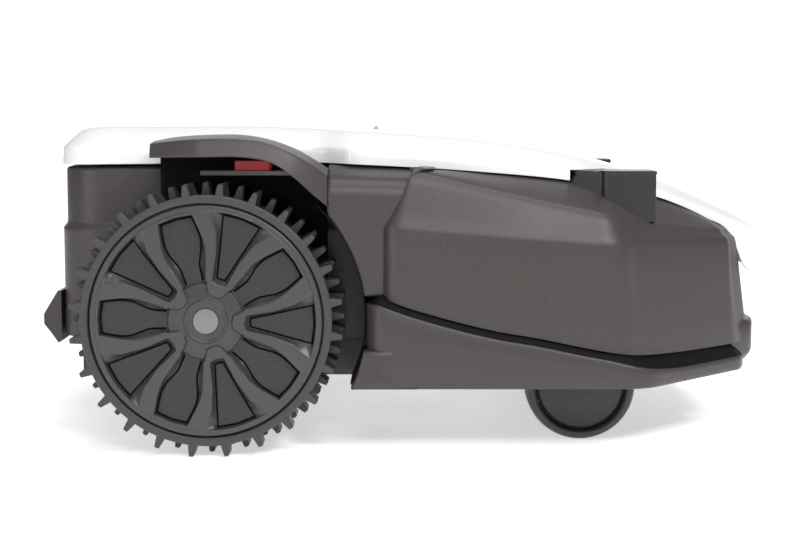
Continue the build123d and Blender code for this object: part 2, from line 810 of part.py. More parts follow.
# Drive wheel: lugged tyre, rim with web and hub, spoked cap, badge and steel shaft
cap_back_y = wheel_face_y - cap_thickness
tyre_face_y = wheel_face_y - 1.0
row_pitch = (tyre_face_y - wheel_inner_y) / lug_rows
with BuildPart() as tyre:
    with BuildSketch(side_plane(wheel_inner_y, axle_x, axle_z)):
        Circle(tyre_outer)
        Circle(tyre_inner, mode=Mode.SUBTRACT)
    extrude(amount=tyre_face_y - wheel_inner_y)
    for row in range(lug_rows):
        row_y = wheel_inner_y + row * row_pitch + lug_row_gap / 2
        lug_phase = (row % 2) * 180.0 / lug_count
        with BuildSketch(side_plane(row_y, axle_x, axle_z)):
            with PolarLocations(0, lug_count, start_angle=lug_phase + 7.5):
                Polygon(
                    (lug_root, -lug_root_width / 2),
                    (wheel_radius, -lug_tip_width / 2),
                    (wheel_radius, lug_tip_width / 2),
                    (lug_root, lug_root_width / 2),
                    align=None,
                )
        extrude(amount=row_pitch - lug_row_gap)
    with BuildSketch(side_plane(cap_back_y - seam, axle_x, axle_z)):
        Circle(cap_radius + seam)
    extrude(amount=cap_thickness + seam, mode=Mode.SUBTRACT)
save_pair(tyre, "drive_tyre")

with BuildPart() as rim:
    with BuildSketch(side_plane(wheel_inner_y + 2.0, axle_x, axle_z)):
        Circle(tyre_inner)
        Circle(tyre_inner - rim_wall, mode=Mode.SUBTRACT)
    extrude(amount=cap_back_y - seam - wheel_inner_y - 2.0)
    with BuildSketch(side_plane(cap_back_y - 30.0, axle_x, axle_z)):
        Circle(tyre_inner)
    extrude(amount=rim_web)
    with BuildSketch(side_plane(cap_back_y - 50.0, axle_x, axle_z)):
        Circle(hub_radius)
    extrude(amount=49.0)
    with BuildSketch(side_plane(wheel_inner_y, axle_x, axle_z)):
        Circle(shaft_radius)
    extrude(amount=wheel_width, mode=Mode.SUBTRACT)
save_pair(rim, "wheel_rim")

spoke_turn = 360.0 / spoke_count
pocket_start = 37.0
pocket_end = cap_radius - 9.0
with BuildPart() as wheel_cap:
    with BuildSketch(side_plane(cap_back_y, axle_x, axle_z)):
        Circle(cap_radius)
    extrude(amount=cap_thickness - 1.0)
    with BuildSketch(side_plane(wheel_face_y - 1.0, axle_x, axle_z)):
        Circle(hub_radius)
    extrude(amount=1.0)
    with BuildSketch(side_plane(wheel_face_y - 1.0 - cap_relief, axle_x, axle_z)) as recesses:
        with PolarLocations(0, spoke_count, start_angle=-2.0):
            Polygon(
                (pocket_start, -4.0),
                (pocket_end, -19.0),
                (pocket_end, 19.0),
                (pocket_start, 4.0),
                align=None,
            )
        with PolarLocations(0, spoke_count, start_angle=-2.0 + spoke_turn / 2):
            Polygon(
                (pocket_start - 3.0, -14.0),
                (pocket_start + 27.0, -25.0),
                (pocket_end, -17.0),
                (pocket_end, 17.0),
                (pocket_start + 27.0, 25.0),
                (pocket_start - 3.0, 14.0),
                align=None,
            )
        fillet(recesses.vertices(), 3.0)
    extrude(amount=cap_relief + 2.0, mode=Mode.SUBTRACT)
    with BuildSketch(side_plane(wheel_face_y - badge_thickness, axle_x, axle_z)):
        Circle(badge_radius)
    extrude(amount=badge_thickness, mode=Mode.SUBTRACT)
save_pair(wheel_cap, "wheel_cap")

with BuildPart() as wheel_badge:
    with BuildSketch(side_plane(wheel_face_y - badge_thickness, axle_x, axle_z)):
        Circle(badge_radius)
    extrude(amount=badge_thickness)
save_pair(wheel_badge, "wheel_badge")

motor_face_y = tray_rear_half - shell_wall
with BuildPart() as wheel_shaft:
    with BuildSketch(side_plane(motor_face_y - shaft_grip, axle_x, axle_z)):
        Circle(shaft_radius)
    extrude(amount=cap_back_y - 2.0 - motor_face_y + shaft_grip)
save_pair(wheel_shaft, "wheel_shaft")

# Drive gear motors on the tray walls
with BuildPart() as gearmotor:
    with BuildSketch(side_plane(motor_face_y - gearmotor_length, axle_x, axle_z)):
        Circle(gearmotor_radius - 6.0)
    extrude(amount=gearmotor_length - 34.0)
    with BuildSketch(side_plane(motor_face_y - 34.0, axle_x, axle_z)):
        Circle(gearmotor_radius)
    extrude(amount=34.0)
    with BuildSketch(side_plane(motor_face_y - shaft_grip - seam, axle_x, axle_z)):
        Circle(shaft_radius + running_gap)
    extrude(amount=shaft_grip + seam, mode=Mode.SUBTRACT)
save_pair(gearmotor, "gearmotor")

# Battery pack and control board inside the tray
battery_x = (tray_rear_x + shell_wall + axle_x - gearmotor_radius) / 2
with BuildPart() as battery_pack:
    with BuildSketch(Plane.XY.offset(tray_floor_z)):
        with Locations((battery_x, 0)):
            RectangleRounded(battery_length, 2 * battery_half_width, 6.0)
    extrude(amount=battery_height)
save(battery_pack, "battery_pack")

with BuildPart() as main_board:
    with BuildSketch(Plane.XY.offset(ground_clearance + shell_wall + post_height)):
        with Locations((board_x, 0)):
            Rectangle(board_length, 2 * board_half)
    extrude(amount=board_thickness)
    with BuildSketch(Plane.XY.offset(ground_clearance + shell_wall + post_height + board_thickness)):
        with Locations((board_x - 30.0, 0), (board_x + 30.0, 0)):
            Rectangle(36.0, 40.0)
    extrude(amount=9.0)
save(main_board, "main_board")

# Red mounts that carry the shell over the wheels, each on its grey bracket
mount_x = axle_x + 40.0
mount_low_z = axle_z + wheel_radius + 5.0
with BuildPart() as shell_mount:
    with BuildSketch(Plane.XY.offset(mount_low_z + 4.0)):
        with Locations((mount_x, -(rear_half + seam + 17.0))):
            RectangleRounded(36.0, 30.0, 4.0)
    extrude(amount=9.0)
save_pair(shell_mount, "shell_mount")

with BuildPart() as mount_bracket:
    with BuildSketch(Plane.XY.offset(mount_low_z)):
        with Locations((axle_x + 35.0, -(rear_half + 18.0))):
            Rectangle(90.0, 36.0)
    extrude(amount=4.0)
save_pair(mount_bracket, "mount_bracket")

# Height adjustment: two guide rods, a bridge across them, and the sliding carriage
with BuildPart() as guide_rods:
    with BuildSketch(Plane.XY.offset(chamber_top_z + shell_wall)):
        with Locations(*rod_spots):
            Circle(rod_radius)
    extrude(amount=bridge_z - chamber_top_z - shell_wall)
save(guide_rods, "guide_rods")

with BuildPart() as height_bridge:
    with BuildSketch(Plane.XY.offset(bridge_z)):
        with Locations((cutter_x, 0)):
            RectangleRounded(40.0, 2 * rod_spread + 30.0, 10.0)
    extrude(amount=6.0)
    with BuildSketch(Plane.XY.offset(bridge_z + 6.0)):
        with Locations((cutter_x, rod_spread / 2)):
            Circle(14.0)
    extrude(amount=24.0)
save(height_bridge, "height_bridge")

with BuildPart() as height_carriage:
    with BuildSketch(Plane.XY.offset(carriage_z)):
        with Locations((cutter_x, 0)):
            RectangleRounded(60.0, 2 * rod_spread + 26.0, 12.0)
            Circle(cutter_motor_radius + 8.0)
            Circle(cutter_motor_radius, mode=Mode.SUBTRACT)
        with Locations(*rod_spots):
            Circle(rod_radius + running_gap, mode=Mode.SUBTRACT)
    extrude(amount=carriage_thickness)
save(height_carriage, "height_carriage")

motor_top_z = carriage_z + carriage_thickness
with BuildPart() as cutting_motor:
    with BuildSketch(Plane.XY.offset(motor_z)):
        with Locations((cutter_x, 0)):
            Circle(cutter_motor_radius)
    extrude(amount=motor_top_z - motor_z)
    with BuildSketch(Plane.XY.offset(motor_z)):
        with Locations((cutter_x, 0)):
            Circle(cutter_shaft_radius + running_gap)
    extrude(amount=24.0, mode=Mode.SUBTRACT)
save(cutting_motor, "cutting_motor")

# Blade disc with its drive shaft, pivoting blades, their screws and the skid plate
blade_spots = [
    (
        cutter_x + blade_pivot_radius * cos(radians(90 + 120 * turn)),
        blade_pivot_radius * sin(radians(90 + 120 * turn)),
    )
    for turn in range(blade_count)
]
skid_z = cut_height - 5.0 - skid_thickness
with BuildPart() as blade_disc:
    with BuildSketch(Plane.XY.offset(disc_z)):
        with Locations((cutter_x, 0)):
            Circle(disc_radius)
        with Locations(*blade_spots):
            Circle(blade_screw_radius, mode=Mode.SUBTRACT)
    extrude(amount=disc_thickness)
    with BuildSketch(Plane.XY.offset(disc_z)):
        with Locations((cutter_x, 0)):
            Circle(cutter_shaft_radius)
    extrude(amount=motor_z + 22.0 - disc_z)
    with BuildSketch(Plane.XY.offset(skid_z - 3.0)):
        with Locations((cutter_x, 0)):
            Circle(cutter_shaft_radius)
    extrude(amount=disc_z - skid_z + 3.0)
    with BuildSketch(Plane.XY.offset(skid_z - 5.0)):
        with Locations((cutter_x, 0)):
            Circle(cutter_shaft_radius + 4.0)
    extrude(amount=5.0 - seam)
save(blade_disc, "blade_disc")

with BuildPart() as blade_screws:
    with BuildSketch(Plane.XY.offset(cut_height - 0.5)):
        with Locations(*blade_spots):
            Circle(blade_screw_radius)
    extrude(amount=disc_z + disc_thickness + 2.0 - cut_height + 0.5)
    with BuildSketch(Plane.XY.offset(cut_height - 3.0)):
        with Locations(*blade_spots):
            Circle(blade_screw_head)
    extrude(amount=3.0 - 0.5)
save(blade_screws, "blade_screws")

for number, spot in enumerate(blade_spots):
    blade_plane = Plane(
        origin=(spot[0], spot[1], cut_height + 0.5),
        x_dir=(cos(radians(90 + 120 * number)), sin(radians(90 + 120 * number)), 0),
        z_dir=(0, 0, 1),
    )
    with BuildPart() as blade:
        with BuildSketch(blade_plane):
            with Locations((-blade_length / 2 + blade_width / 2 - 2.0, 0)):
                RectangleRounded(blade_length, blade_width, 3.0)
            Circle(blade_screw_radius + running_gap, mode=Mode.SUBTRACT)
        extrude(amount=blade_thickness)
    save(blade, f"blade_{number + 1}")

with BuildPart() as skid_plate:
    with BuildSketch(Plane.XY.offset(skid_z)):
        with Locations((cutter_x, 0)):
            Circle(skid_radius)
            Circle(cutter_shaft_radius + running_gap, mode=Mode.SUBTRACT)
    extrude(amount=skid_thickness)
save(skid_plate, "skid_plate")

# Stop button in its cup
with BuildPart() as button_cup:
    with BuildSketch(Plane.XY.offset(button_top_z - button_height - button_travel - 6.0)):
        with Locations((button_x, 0)):
            Circle(button_radius + button_gap + shell_wall - seam / 5)
    extrude(amount=button_height + button_travel + 6.0)
    with BuildSketch(Plane.XY.offset(button_top_z - button_height - button_travel - 3.0)):
        with Locations((button_x, 0)):
            Circle(button_radius + button_gap)
    extrude(amount=60.0, mode=Mode.SUBTRACT)
save(button_cup, "button_cup")

with BuildPart() as stop_button:
    with BuildSketch(Plane.XY.offset(button_top_z - button_height)):
        with Locations((button_x, 0)):
            Circle(button_radius)
    extrude(amount=button_height)
    fillet(stop_button.edges().filter_by(GeomType.CIRCLE).sort_by(Axis.Z)[-1], 2.0)
save(stop_button, "stop_button")

# Control panel under the hinged lid, with the hinge pin
panel_drop = 14.0
with BuildPart() as control_panel:
    with BuildSketch(lid_plane.offset(-panel_drop)):
        with Locations((lid_length / 2, 0)):
            Rectangle(lid_length - 2.0, 2 * lid_half_width - 2.0)
    extrude(amount=4.0)
    with BuildSketch(lid_plane.offset(-panel_drop + 4.0)):
        with Locations((lid_length * 0.3, 0)):
            RectangleRounded(30.0, 80.0, 3.0)
        with GridLocations(18.0, 26.0, 2, 3):
            with Locations((lid_length * 0.68, 0)):
                Circle(6.0)
    extrude(amount=2.0)
    with BuildSketch(lid_plane.offset(-panel_drop + 4.0)):
        with Locations((0.5 + 2.5, 0)):
            Rectangle(5.0, 2 * knuckle_inner - 1.0)
    extrude(amount=panel_drop - 4.0)
    add(hinge_barrel(-knuckle_inner + seam, knuckle_inner - seam, knuckle_radius))
    add(hinge_barrel(-knuckle_inner, knuckle_inner, lid_pin_radius), mode=Mode.SUBTRACT)
save(control_panel, "control_panel")

with BuildPart() as lid_pin:
    add(hinge_barrel(-knuckle_outer, knuckle_outer, lid_pin_radius))
save(lid_pin, "lid_pin")

with BuildPart() as control_lid:
    with BuildSketch(lid_plane.offset(-lid_thickness)):
        with Locations((lid_length / 2, 0)):
            RectangleRounded(lid_length, 2 * lid_half_width, 6.0)
        with Locations((0, 0)):
            Rectangle(14.0, 2 * knuckle_inner + 1.0, mode=Mode.SUBTRACT)
    extrude(amount=lid_thickness)
    for first_y in (-knuckle_outer, knuckle_inner):
        add(hinge_barrel(first_y, first_y + knuckle_outer - knuckle_inner, knuckle_radius))
    bore = hinge_barrel(-knuckle_outer, knuckle_outer, lid_pin_radius + running_gap)
    add(bore, mode=Mode.SUBTRACT)
save(control_lid, "control_lid")
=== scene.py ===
import math
import bmesh
import bpy
import numpy as np
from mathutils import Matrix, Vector


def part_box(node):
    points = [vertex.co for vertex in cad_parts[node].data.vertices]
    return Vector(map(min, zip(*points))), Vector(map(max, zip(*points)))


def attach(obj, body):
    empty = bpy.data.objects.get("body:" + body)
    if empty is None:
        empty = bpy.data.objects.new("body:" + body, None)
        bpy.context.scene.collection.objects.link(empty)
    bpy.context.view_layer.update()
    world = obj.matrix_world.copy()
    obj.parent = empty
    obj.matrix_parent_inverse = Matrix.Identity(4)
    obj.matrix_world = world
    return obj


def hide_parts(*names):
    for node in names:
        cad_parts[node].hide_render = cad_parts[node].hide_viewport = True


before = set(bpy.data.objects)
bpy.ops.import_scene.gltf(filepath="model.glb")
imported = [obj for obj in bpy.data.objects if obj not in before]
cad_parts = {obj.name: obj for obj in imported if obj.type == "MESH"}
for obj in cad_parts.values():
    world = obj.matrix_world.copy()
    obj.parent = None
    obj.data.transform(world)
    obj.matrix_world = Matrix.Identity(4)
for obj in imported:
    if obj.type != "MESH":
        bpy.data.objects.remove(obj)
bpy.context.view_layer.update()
axle = np.array([-0.188, 0.0, 0.128])

# --- Dark body shell -------------------------------------------------------------------
# The rear box, side panels and pods are one injection moulding in graphite ABS with a fine
# spark-eroded texture. It is clipped to the tray and carries the white cover in its rim. The
# wheel-well walls are painted near-black with weak reflection as painted shade.

GRAPHITE = (0.0395, 0.0342, 0.0326)


def build_grain_group():
    """Fine moulded grain with slow blotches: a mask, a roughness change and a bump height"""
    group = bpy.data.node_groups.new("moulded_grain", "ShaderNodeTree")
    for name, kind in (("Vector", "NodeSocketVector"), ("Scale", "NodeSocketFloat")):
        group.interface.new_socket(name, in_out="INPUT", socket_type=kind)
    for name in ("Speckle", "Blotch", "Height"):
        group.interface.new_socket(name, in_out="OUTPUT", socket_type="NodeSocketFloat")
    nodes = group.nodes
    links = group.links
    entry = nodes.new("NodeGroupInput")
    leave = nodes.new("NodeGroupOutput")
    fine = nodes.new("ShaderNodeTexNoise")
    fine.inputs["Detail"].default_value = 3.0
    fine.inputs["Roughness"].default_value = 0.6
    links.new(entry.outputs["Vector"], fine.inputs["Vector"])
    links.new(entry.outputs["Scale"], fine.inputs["Scale"])
    slow = nodes.new("ShaderNodeTexNoise")
    slow.inputs["Scale"].default_value = 14.0
    slow.inputs["Detail"].default_value = 4.0
    links.new(entry.outputs["Vector"], slow.inputs["Vector"])
    spread = nodes.new("ShaderNodeMapRange")
    spread.inputs["From Min"].default_value = 0.32
    spread.inputs["From Max"].default_value = 0.68
    links.new(fine.outputs["Fac"], spread.inputs["Value"])
    links.new(spread.outputs["Result"], leave.inputs["Speckle"])
    links.new(slow.outputs["Fac"], leave.inputs["Blotch"])
    links.new(fine.outputs["Fac"], leave.inputs["Height"])
    return group


grain_group = build_grain_group()


def moulded(name, colour, rough, grain=1400.0, bump=0.12, contrast=0.16, metallic=0.0, coat=0.0):
    """Material of a moulded, cast or turned surface with grain, blotches and worn-in sheen"""
    material = bpy.data.materials.new(name)
    material.use_nodes = True
    nodes = material.node_tree.nodes
    links = material.node_tree.links
    shader = nodes["Principled BSDF"]
    place = nodes.new("ShaderNodeTexCoord")
    texture = nodes.new("ShaderNodeGroup")
    texture.node_tree = grain_group
    texture.inputs["Scale"].default_value = grain
    links.new(place.outputs["Object"], texture.inputs["Vector"])
    tint = nodes.new("ShaderNodeMix")
    tint.data_type = "RGBA"
    tint.inputs[6].default_value = (*[c * (1 - contrast) for c in colour], 1)
    tint.inputs[7].default_value = (*[min(1, c * (1 + contrast)) for c in colour], 1)
    links.new(texture.outputs["Speckle"], tint.inputs[0])
    links.new(tint.outputs[2], shader.inputs["Base Color"])
    sheen = nodes.new("ShaderNodeMapRange")
    sheen.inputs["To Min"].default_value = max(0.02, rough - 0.07)
    sheen.inputs["To Max"].default_value = min(1.0, rough + 0.07)
    links.new(texture.outputs["Blotch"], sheen.inputs["Value"])
    links.new(sheen.outputs["Result"], shader.inputs["Roughness"])
    relief = nodes.new("ShaderNodeBump")
    relief.inputs["Strength"].default_value = bump
    relief.inputs["Distance"].default_value = 0.0006
    links.new(texture.outputs["Height"], relief.inputs["Height"])
    links.new(relief.outputs["Normal"], shader.inputs["Normal"])
    shader.inputs["Metallic"].default_value = metallic
    shader.inputs["Coat Weight"].default_value = coat
    return material


graphite = moulded("graphite texture", GRAPHITE, 0.40, grain=1100.0, bump=0.22, contrast=0.3)
graphite.node_tree.nodes["Principled BSDF"].inputs["Specular IOR Level"].default_value = 0.4
# Near-black with weak reflection: painted shade for the wheel-well walls and the skirt ledges.
painted_shade_black = moulded("cavity black", (0.004, 0.004, 0.004), 0.7)
painted_shade_black.node_tree.nodes["Principled BSDF"].inputs["Specular IOR Level"].default_value = 0.12


def smooth_line(points):
    """Smooth height line through given (x, z) points, as a function of x"""
    xs = np.array([p[0] for p in points], float)
    zs = np.array([p[1] for p in points], float)
    step = np.diff(zs) / np.diff(xs)
    slope = np.concatenate([[step[0]], (step[:-1] + step[1:]) / 2, [step[-1]]])

    def height(x):
        x = np.clip(np.asarray(x, float), xs[0], xs[-1])
        i = np.clip(np.searchsorted(xs, x) - 1, 0, len(xs) - 2)
        h = xs[i + 1] - xs[i]
        t = (x - xs[i]) / h
        a = (1 + 2 * t) * (1 - t) ** 2 * zs[i] + t * (1 - t) ** 2 * h * slope[i]
        return a + t * t * (3 - 2 * t) * zs[i + 1] + t * t * (t - 1) * h * slope[i + 1]

    return height


def rounded(points, radii, steps=8):
    """Polyline in a plane with each inner corner rounded by its own radius"""
    points = [np.array(p, float) for p in points]
    if np.isscalar(radii):
        radii = [radii] * len(points)
    path = [points[0]]
    for before, corner, after, radius in zip(points, points[1:], points[2:], radii[1:]):
        a = (before - corner) / np.linalg.norm(before - corner)
        b = (after - corner) / np.linalg.norm(after - corner)
        half = math.acos(np.clip(np.dot(a, b), -1, 1)) / 2
        reach = radius / math.tan(half)
        reach = min(reach, 0.48 * np.linalg.norm(before - corner), 0.48 * np.linalg.norm(after - corner))
        for t in np.linspace(0, 1, steps):
            path.append(
                (1 - t) ** 2 * (corner + a * reach) + 2 * t * (1 - t) * corner + t * t * (corner + b * reach)
            )
    path.append(points[-1])
    return np.array(path)


def resample(path, count):
    """Same polyline with evenly spaced points"""
    path = np.array(path, float)
    run = np.concatenate([[0], np.cumsum(np.linalg.norm(np.diff(path, axis=0), axis=1))])
    even = np.linspace(0, run[-1], count)
    return np.stack([np.interp(even, run, path[:, k]) for k in range(path.shape[1])], axis=1)


def dress(obj, material, bevel=0.0, sharp=35.0, thick=0.0):
    """Give a mesh object its material, wall thickness, edge rounding and smooth shading"""
    obj.data.materials.clear()
    obj.data.materials.append(material)
    if thick:
        wall = obj.modifiers.new("wall", "SOLIDIFY")
        wall.thickness = thick
        wall.offset = -1
    if bevel:
        edge = obj.modifiers.new("edge", "BEVEL")
        edge.width = bevel
        edge.segments = 2
        edge.limit_method = "ANGLE"
        edge.angle_limit = math.radians(sharp)
        edge.harden_normals = False
    for face in obj.data.polygons:
        face.use_smooth = True
    obj.data.set_sharp_from_angle(angle=math.radians(sharp))


def mesh_object(name, points, faces):
    """Mesh object from points in metres, with merged doubles left to the caller"""
    mesh = bpy.data.meshes.new(name)
    mesh.from_pydata([tuple(float(c) for c in p) for p in points], [], faces)
    mesh.validate()
    obj = bpy.data.objects.new(name, mesh)
    bpy.context.scene.collection.objects.link(obj)
    return obj


def skin(name, grid, wrap=False, flip=False):
    """Quad skin over a grid of points, rows by columns, wrapped around the columns if asked"""
    grid = np.array(grid, float)
    rows, cols = grid.shape[:2]
    faces = []
    for r in range(rows - 1):
        for c in range(cols if wrap else cols - 1):
            d = (c + 1) % cols
            quad = (r * cols + c, r * cols + d, (r + 1) * cols + d, (r + 1) * cols + c)
            faces.append(quad[::-1] if flip else quad)
    return mesh_object(name, grid.reshape(-1, 3), faces)


def mirrored(obj, name):
    """Left-hand twin of a right-hand piece"""
    points = [(v.co.x, -v.co.y, v.co.z) for v in obj.data.vertices]
    faces = [tuple(reversed(f.vertices)) for f in obj.data.polygons]
    return mesh_object(name, points, faces)


def outward(path):
    """Unit normals on the right-hand side's outside of a plan path that runs rear to front"""
    run = np.gradient(path, axis=0)
    run /= np.linalg.norm(run, axis=1)[:, None]
    return np.stack([run[:, 1], -run[:, 0]], axis=1)


deck_z = smooth_line([
    (-0.026, 0.2668), (0.004, 0.2660), (0.062, 0.2530), (0.155, 0.2325), (0.220, 0.2205), (0.264, 0.2125),
    (0.325, 0.2045), (0.36, 0.2035),
])
bevel_z = smooth_line([(-0.03, 0.2165), (0.02, 0.212), (0.122, 0.2035), (0.22, 0.1965), (0.36, 0.189)])
pod_low_z = smooth_line([
    (-0.03, 0.148), (-0.026, 0.147), (0.005, 0.1365), (0.079, 0.117), (0.122, 0.1095), (0.171, 0.0995),
    (0.226, 0.0905), (0.265, 0.0885), (0.36, 0.0885),
])
COLUMNS = 150
pod_plan = resample(rounded(
    [(-0.026, -0.205), (-0.026, -0.250), (0.200, -0.250), (0.330, -0.131), (0.351, -0.092), (0.3565, 0.0)],
    [0, 0.032, 0.058, 0.04, 0.03, 0],
    14,
), COLUMNS)
deck_plan = resample(rounded(
    [(0.006, -0.160), (0.006, -0.182), (0.155, -0.180), (0.268, -0.108), (0.316, -0.085), (0.325, 0.0)],
    0.02,
), COLUMNS)
deck_inner_z = smooth_line([
    (-0.01, 0.2680), (0.07, 0.2655), (0.16, 0.2585), (0.246, 0.2420), (0.303, 0.2180), (0.33, 0.204),
])
pod_run = np.concatenate([[0], np.cumsum(np.linalg.norm(np.diff(pod_plan, axis=0), axis=1))])
PULL_RUN = 0.078
PULL = 0.032
rear_pull = np.clip(1 - pod_run / PULL_RUN, 0, 1)
pod_out = outward(pod_plan)


def pod_row(inset, height, pull=0.0):
    """One level line round the pod: inset from the wall, leaning back at the nose, pulled off the rear"""
    nose = np.clip(pod_out[:, 0], 0, 1) ** 3
    lean = 0.17 * nose * (height - pod_low_z(pod_plan[:, 0]))
    fade = 1 - 0.75 * nose
    edge = pod_plan - pod_out * (inset * fade + lean)[:, None]
    shift = pull * PULL * rear_pull
    return np.stack([edge[:, 0] + shift, edge[:, 1], height], axis=1)


pod_x = pod_plan[:, 0]
wall = np.zeros(COLUMNS)
pod_low = pod_low_z(pod_x)
bevel = bevel_z(pod_x)
deck = deck_z(pod_x + PULL * rear_pull)
pod_rows = [
    pod_row(wall + 0.004, pod_low), pod_row(wall + 0.0005, pod_low + 0.0006), pod_row(wall, pod_low + 0.003),
]
for t in (0.25, 0.5, 0.75, 1.0):
    pod_rows.append(pod_row(wall + 0.0004 * t, pod_low + (bevel - pod_low) * t - 0.003 * t))
pod_rows += [pod_row(wall + 0.0012, bevel + 0.0005, 0.03), pod_row(wall + 0.0026, bevel + 0.004, 0.1)]
for t in (0.3, 0.55, 0.8):
    climb = bevel + 0.004 + (deck - bevel - 0.008) * t
    pod_rows.append(pod_row(wall + 0.0026 + 0.0105 * t, climb, 0.1 + 0.82 * t))
pod_rows += [pod_row(wall + 0.0136, deck - 0.0026, 0.95), pod_row(wall + 0.0156, deck - 0.0007, 1.0)]
deck_rim = pod_row(wall + 0.0185, deck + 0.0007, 1.0)
deck_inner = np.stack([deck_plan[:, 0], deck_plan[:, 1], deck_inner_z(deck_plan[:, 0]) - 0.0015], axis=1)
pod_rows += [deck_rim + (deck_inner - deck_rim) * t for t in (0, 0.25, 0.5, 0.75, 1.0)]
pod_right = skin("pod_right", pod_rows)
pod_left = mirrored(pod_right, "pod_left")

# Side panel between the wheel well and the pod, its top curling in under the cover
WELL_RADIUS = 0.148
FENDER_FRONT_X = -0.0762


def well_x(z):
    """Front edge of the round wheel well at this height"""
    reach = np.sqrt(np.maximum(WELL_RADIUS ** 2 - (z - axle[2]) ** 2, 0))
    return np.maximum(axle[0] + reach, FENDER_FRONT_X)


PANEL_TOP = 0.267
PANEL_BEND = 0.2
panel_section = rounded([(-0.240, 0.149), (-0.240, 0.256), (-0.186, PANEL_TOP), (-0.170, PANEL_TOP)], 0.022, 8)
panel_section = np.concatenate([resample(panel_section[:2], 26), panel_section[2:]])
panel_top_z = smooth_line([(-0.08, 0.2705), (-0.008, 0.2675), (0.012, 0.2665)])
panel_rows = []
for y, z in panel_section:
    start = well_x(z)
    share = np.clip((z - PANEL_BEND) / (PANEL_TOP - PANEL_BEND), 0, 1)
    panel_rows.append([
        (x, y, z + share * (float(panel_top_z(x)) - PANEL_TOP)) for x in np.linspace(start, 0.012, 24)
    ])
panel_right = skin("side_panel_right", panel_rows)
panel_left = mirrored(panel_right, "side_panel_left")

# Round front wall of the wheel well, behind the panel
liner_rows = []
for depth in (0.1722, 0.2398):
    liner_rows.append([
        (axle[0] + WELL_RADIUS * math.cos(a), -depth, axle[2] + WELL_RADIUS * math.sin(a))
        for a in np.radians(np.linspace(-25, 46, 40))
    ])
liner_right = skin("well_liner_right", liner_rows)
liner_left = mirrored(liner_right, "well_liner_left")

# Flat inner wall of the wheel well, from behind the tail corner to the front of the well
inner_top_z = smooth_line([
    (-0.2415, 0.2772), (-0.15, 0.2772), (-0.124, 0.2740), (-0.105, 0.2620), (-0.09, 0.2490), (-0.0762, 0.2380),
])
INNER_LOW = 0.102
inner_x = np.linspace(-0.2405, -0.0785, 30)
inner_rows = []
for share in np.linspace(0, 1, 8):
    inner_rows.append([
        (x, -0.1738, INNER_LOW + (float(inner_top_z(x)) - INNER_LOW) * share) for x in inner_x
    ])
inner_right = skin("well_wall_right", inner_rows)
inner_left = mirrored(inner_right, "well_wall_left")

# Rear box with a ledge two thirds of the way up and broad upright corners
TAIL_X = -0.3435
TAIL_HALF = 0.172
rear_plan = resample(rounded(
    [(-0.03, -TAIL_HALF), (TAIL_X, -TAIL_HALF), (TAIL_X, TAIL_HALF), (-0.03, TAIL_HALF)],
    [0, 0.045, 0.045, 0],
    14,
), 140)
rear_out = -outward(rear_plan)
rear_rows = []
for step_out, z in (
    (-0.004, 0.1), (0.0, 0.1003), (0.0, 0.104), (0.0, 0.204), (0.0003, 0.2065), (-0.0012, 0.2085),
    (-0.0036, 0.2115), (-0.004, 0.2145), (-0.004, 0.264), (-0.005, 0.2665), (-0.008, 0.2675), (-0.02, 0.2675),
):
    edge = rear_plan + rear_out * step_out
    rear_rows.append(np.stack([edge[:, 0], edge[:, 1], np.full(len(edge), z)], axis=1))
rear_box = skin("rear_box", rear_rows, flip=True)

linings = [liner_right, liner_left, inner_right, inner_left]
body_pieces = [pod_right, pod_left, panel_right, panel_left, rear_box] + linings
# The well linings take the near-black painted shade, the other pieces the graphite.
for piece in body_pieces:
    lining = piece in linings
    dress(piece, painted_shade_black if lining else graphite, thick=0.0012 if lining else 0.0025, sharp=50.0)
    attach(piece, "chassis")
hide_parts("body_shell")

# --- Side skirts -----------------------------------------------------------------------
# Lower guards moulded apart from the body and screwed up under the pods. Each stands 8 mm
# proud. A ledge painted near-black as painted shade slopes in from it to behind the pod's
# lower edge, furthest in at the front corner, and the foot runs back to the edge of the wheel well.

skirt_plan = resample(rounded(
    [(-0.040, -0.205), (-0.040, -0.258), (0.222, -0.258), (0.334, -0.141), (0.340, -0.120)],
    [0, 0.046, 0.05, 0.03, 0], 14), 130)
skirt_out = outward(skirt_plan)
skirt_x = skirt_plan[:, 0]
skirt_top = pod_low_z(skirt_x) - 0.0008
corner_share = np.clip((skirt_x - 0.19) / 0.07, 0, 1)
skirt_brow = skirt_top - 0.0050 - 0.0050 * corner_share
SKIRT_FOOT = 0.063
skirt_low = np.full(len(skirt_x), SKIRT_FOOT)


def skirt_row(inset, height):
    """One level line round the skirt"""
    edge = skirt_plan - skirt_out * inset[:, None]
    return np.stack([edge[:, 0], edge[:, 1], height], axis=1)


flat = np.zeros(len(skirt_x))
skirt_rows = [skirt_row(flat + 0.004, skirt_low), skirt_row(flat + 0.0012, skirt_low + 0.0006)]
for t in (0, 0.33, 0.66, 1):
    skirt_rows.append(skirt_row(flat, skirt_low + 0.0024 + (skirt_brow - skirt_low - 0.0045) * t))
brow_row = skirt_row(flat + 0.0022, skirt_brow)
skirt_rows += [skirt_row(flat + 0.0008, skirt_brow - 0.0006), brow_row]
LEDGE_DEPTH = 0.0135
LEDGE_RISE = 0.003
corner_reach = 0.0090 * np.exp(-((skirt_x - 0.236) / 0.042) ** 2)
ledge_inset = flat + LEDGE_DEPTH + 0.002 * corner_share + corner_reach
skirt_ledge_rows = [brow_row, skirt_row(ledge_inset, skirt_top + LEDGE_RISE)]
skirt_right = skin("skirt_right", skirt_rows)
skirt_left = mirrored(skirt_right, "skirt_left")
ledge_right = skin("skirt_ledge_right", skirt_ledge_rows)
ledge_left = mirrored(ledge_right, "skirt_ledge_left")

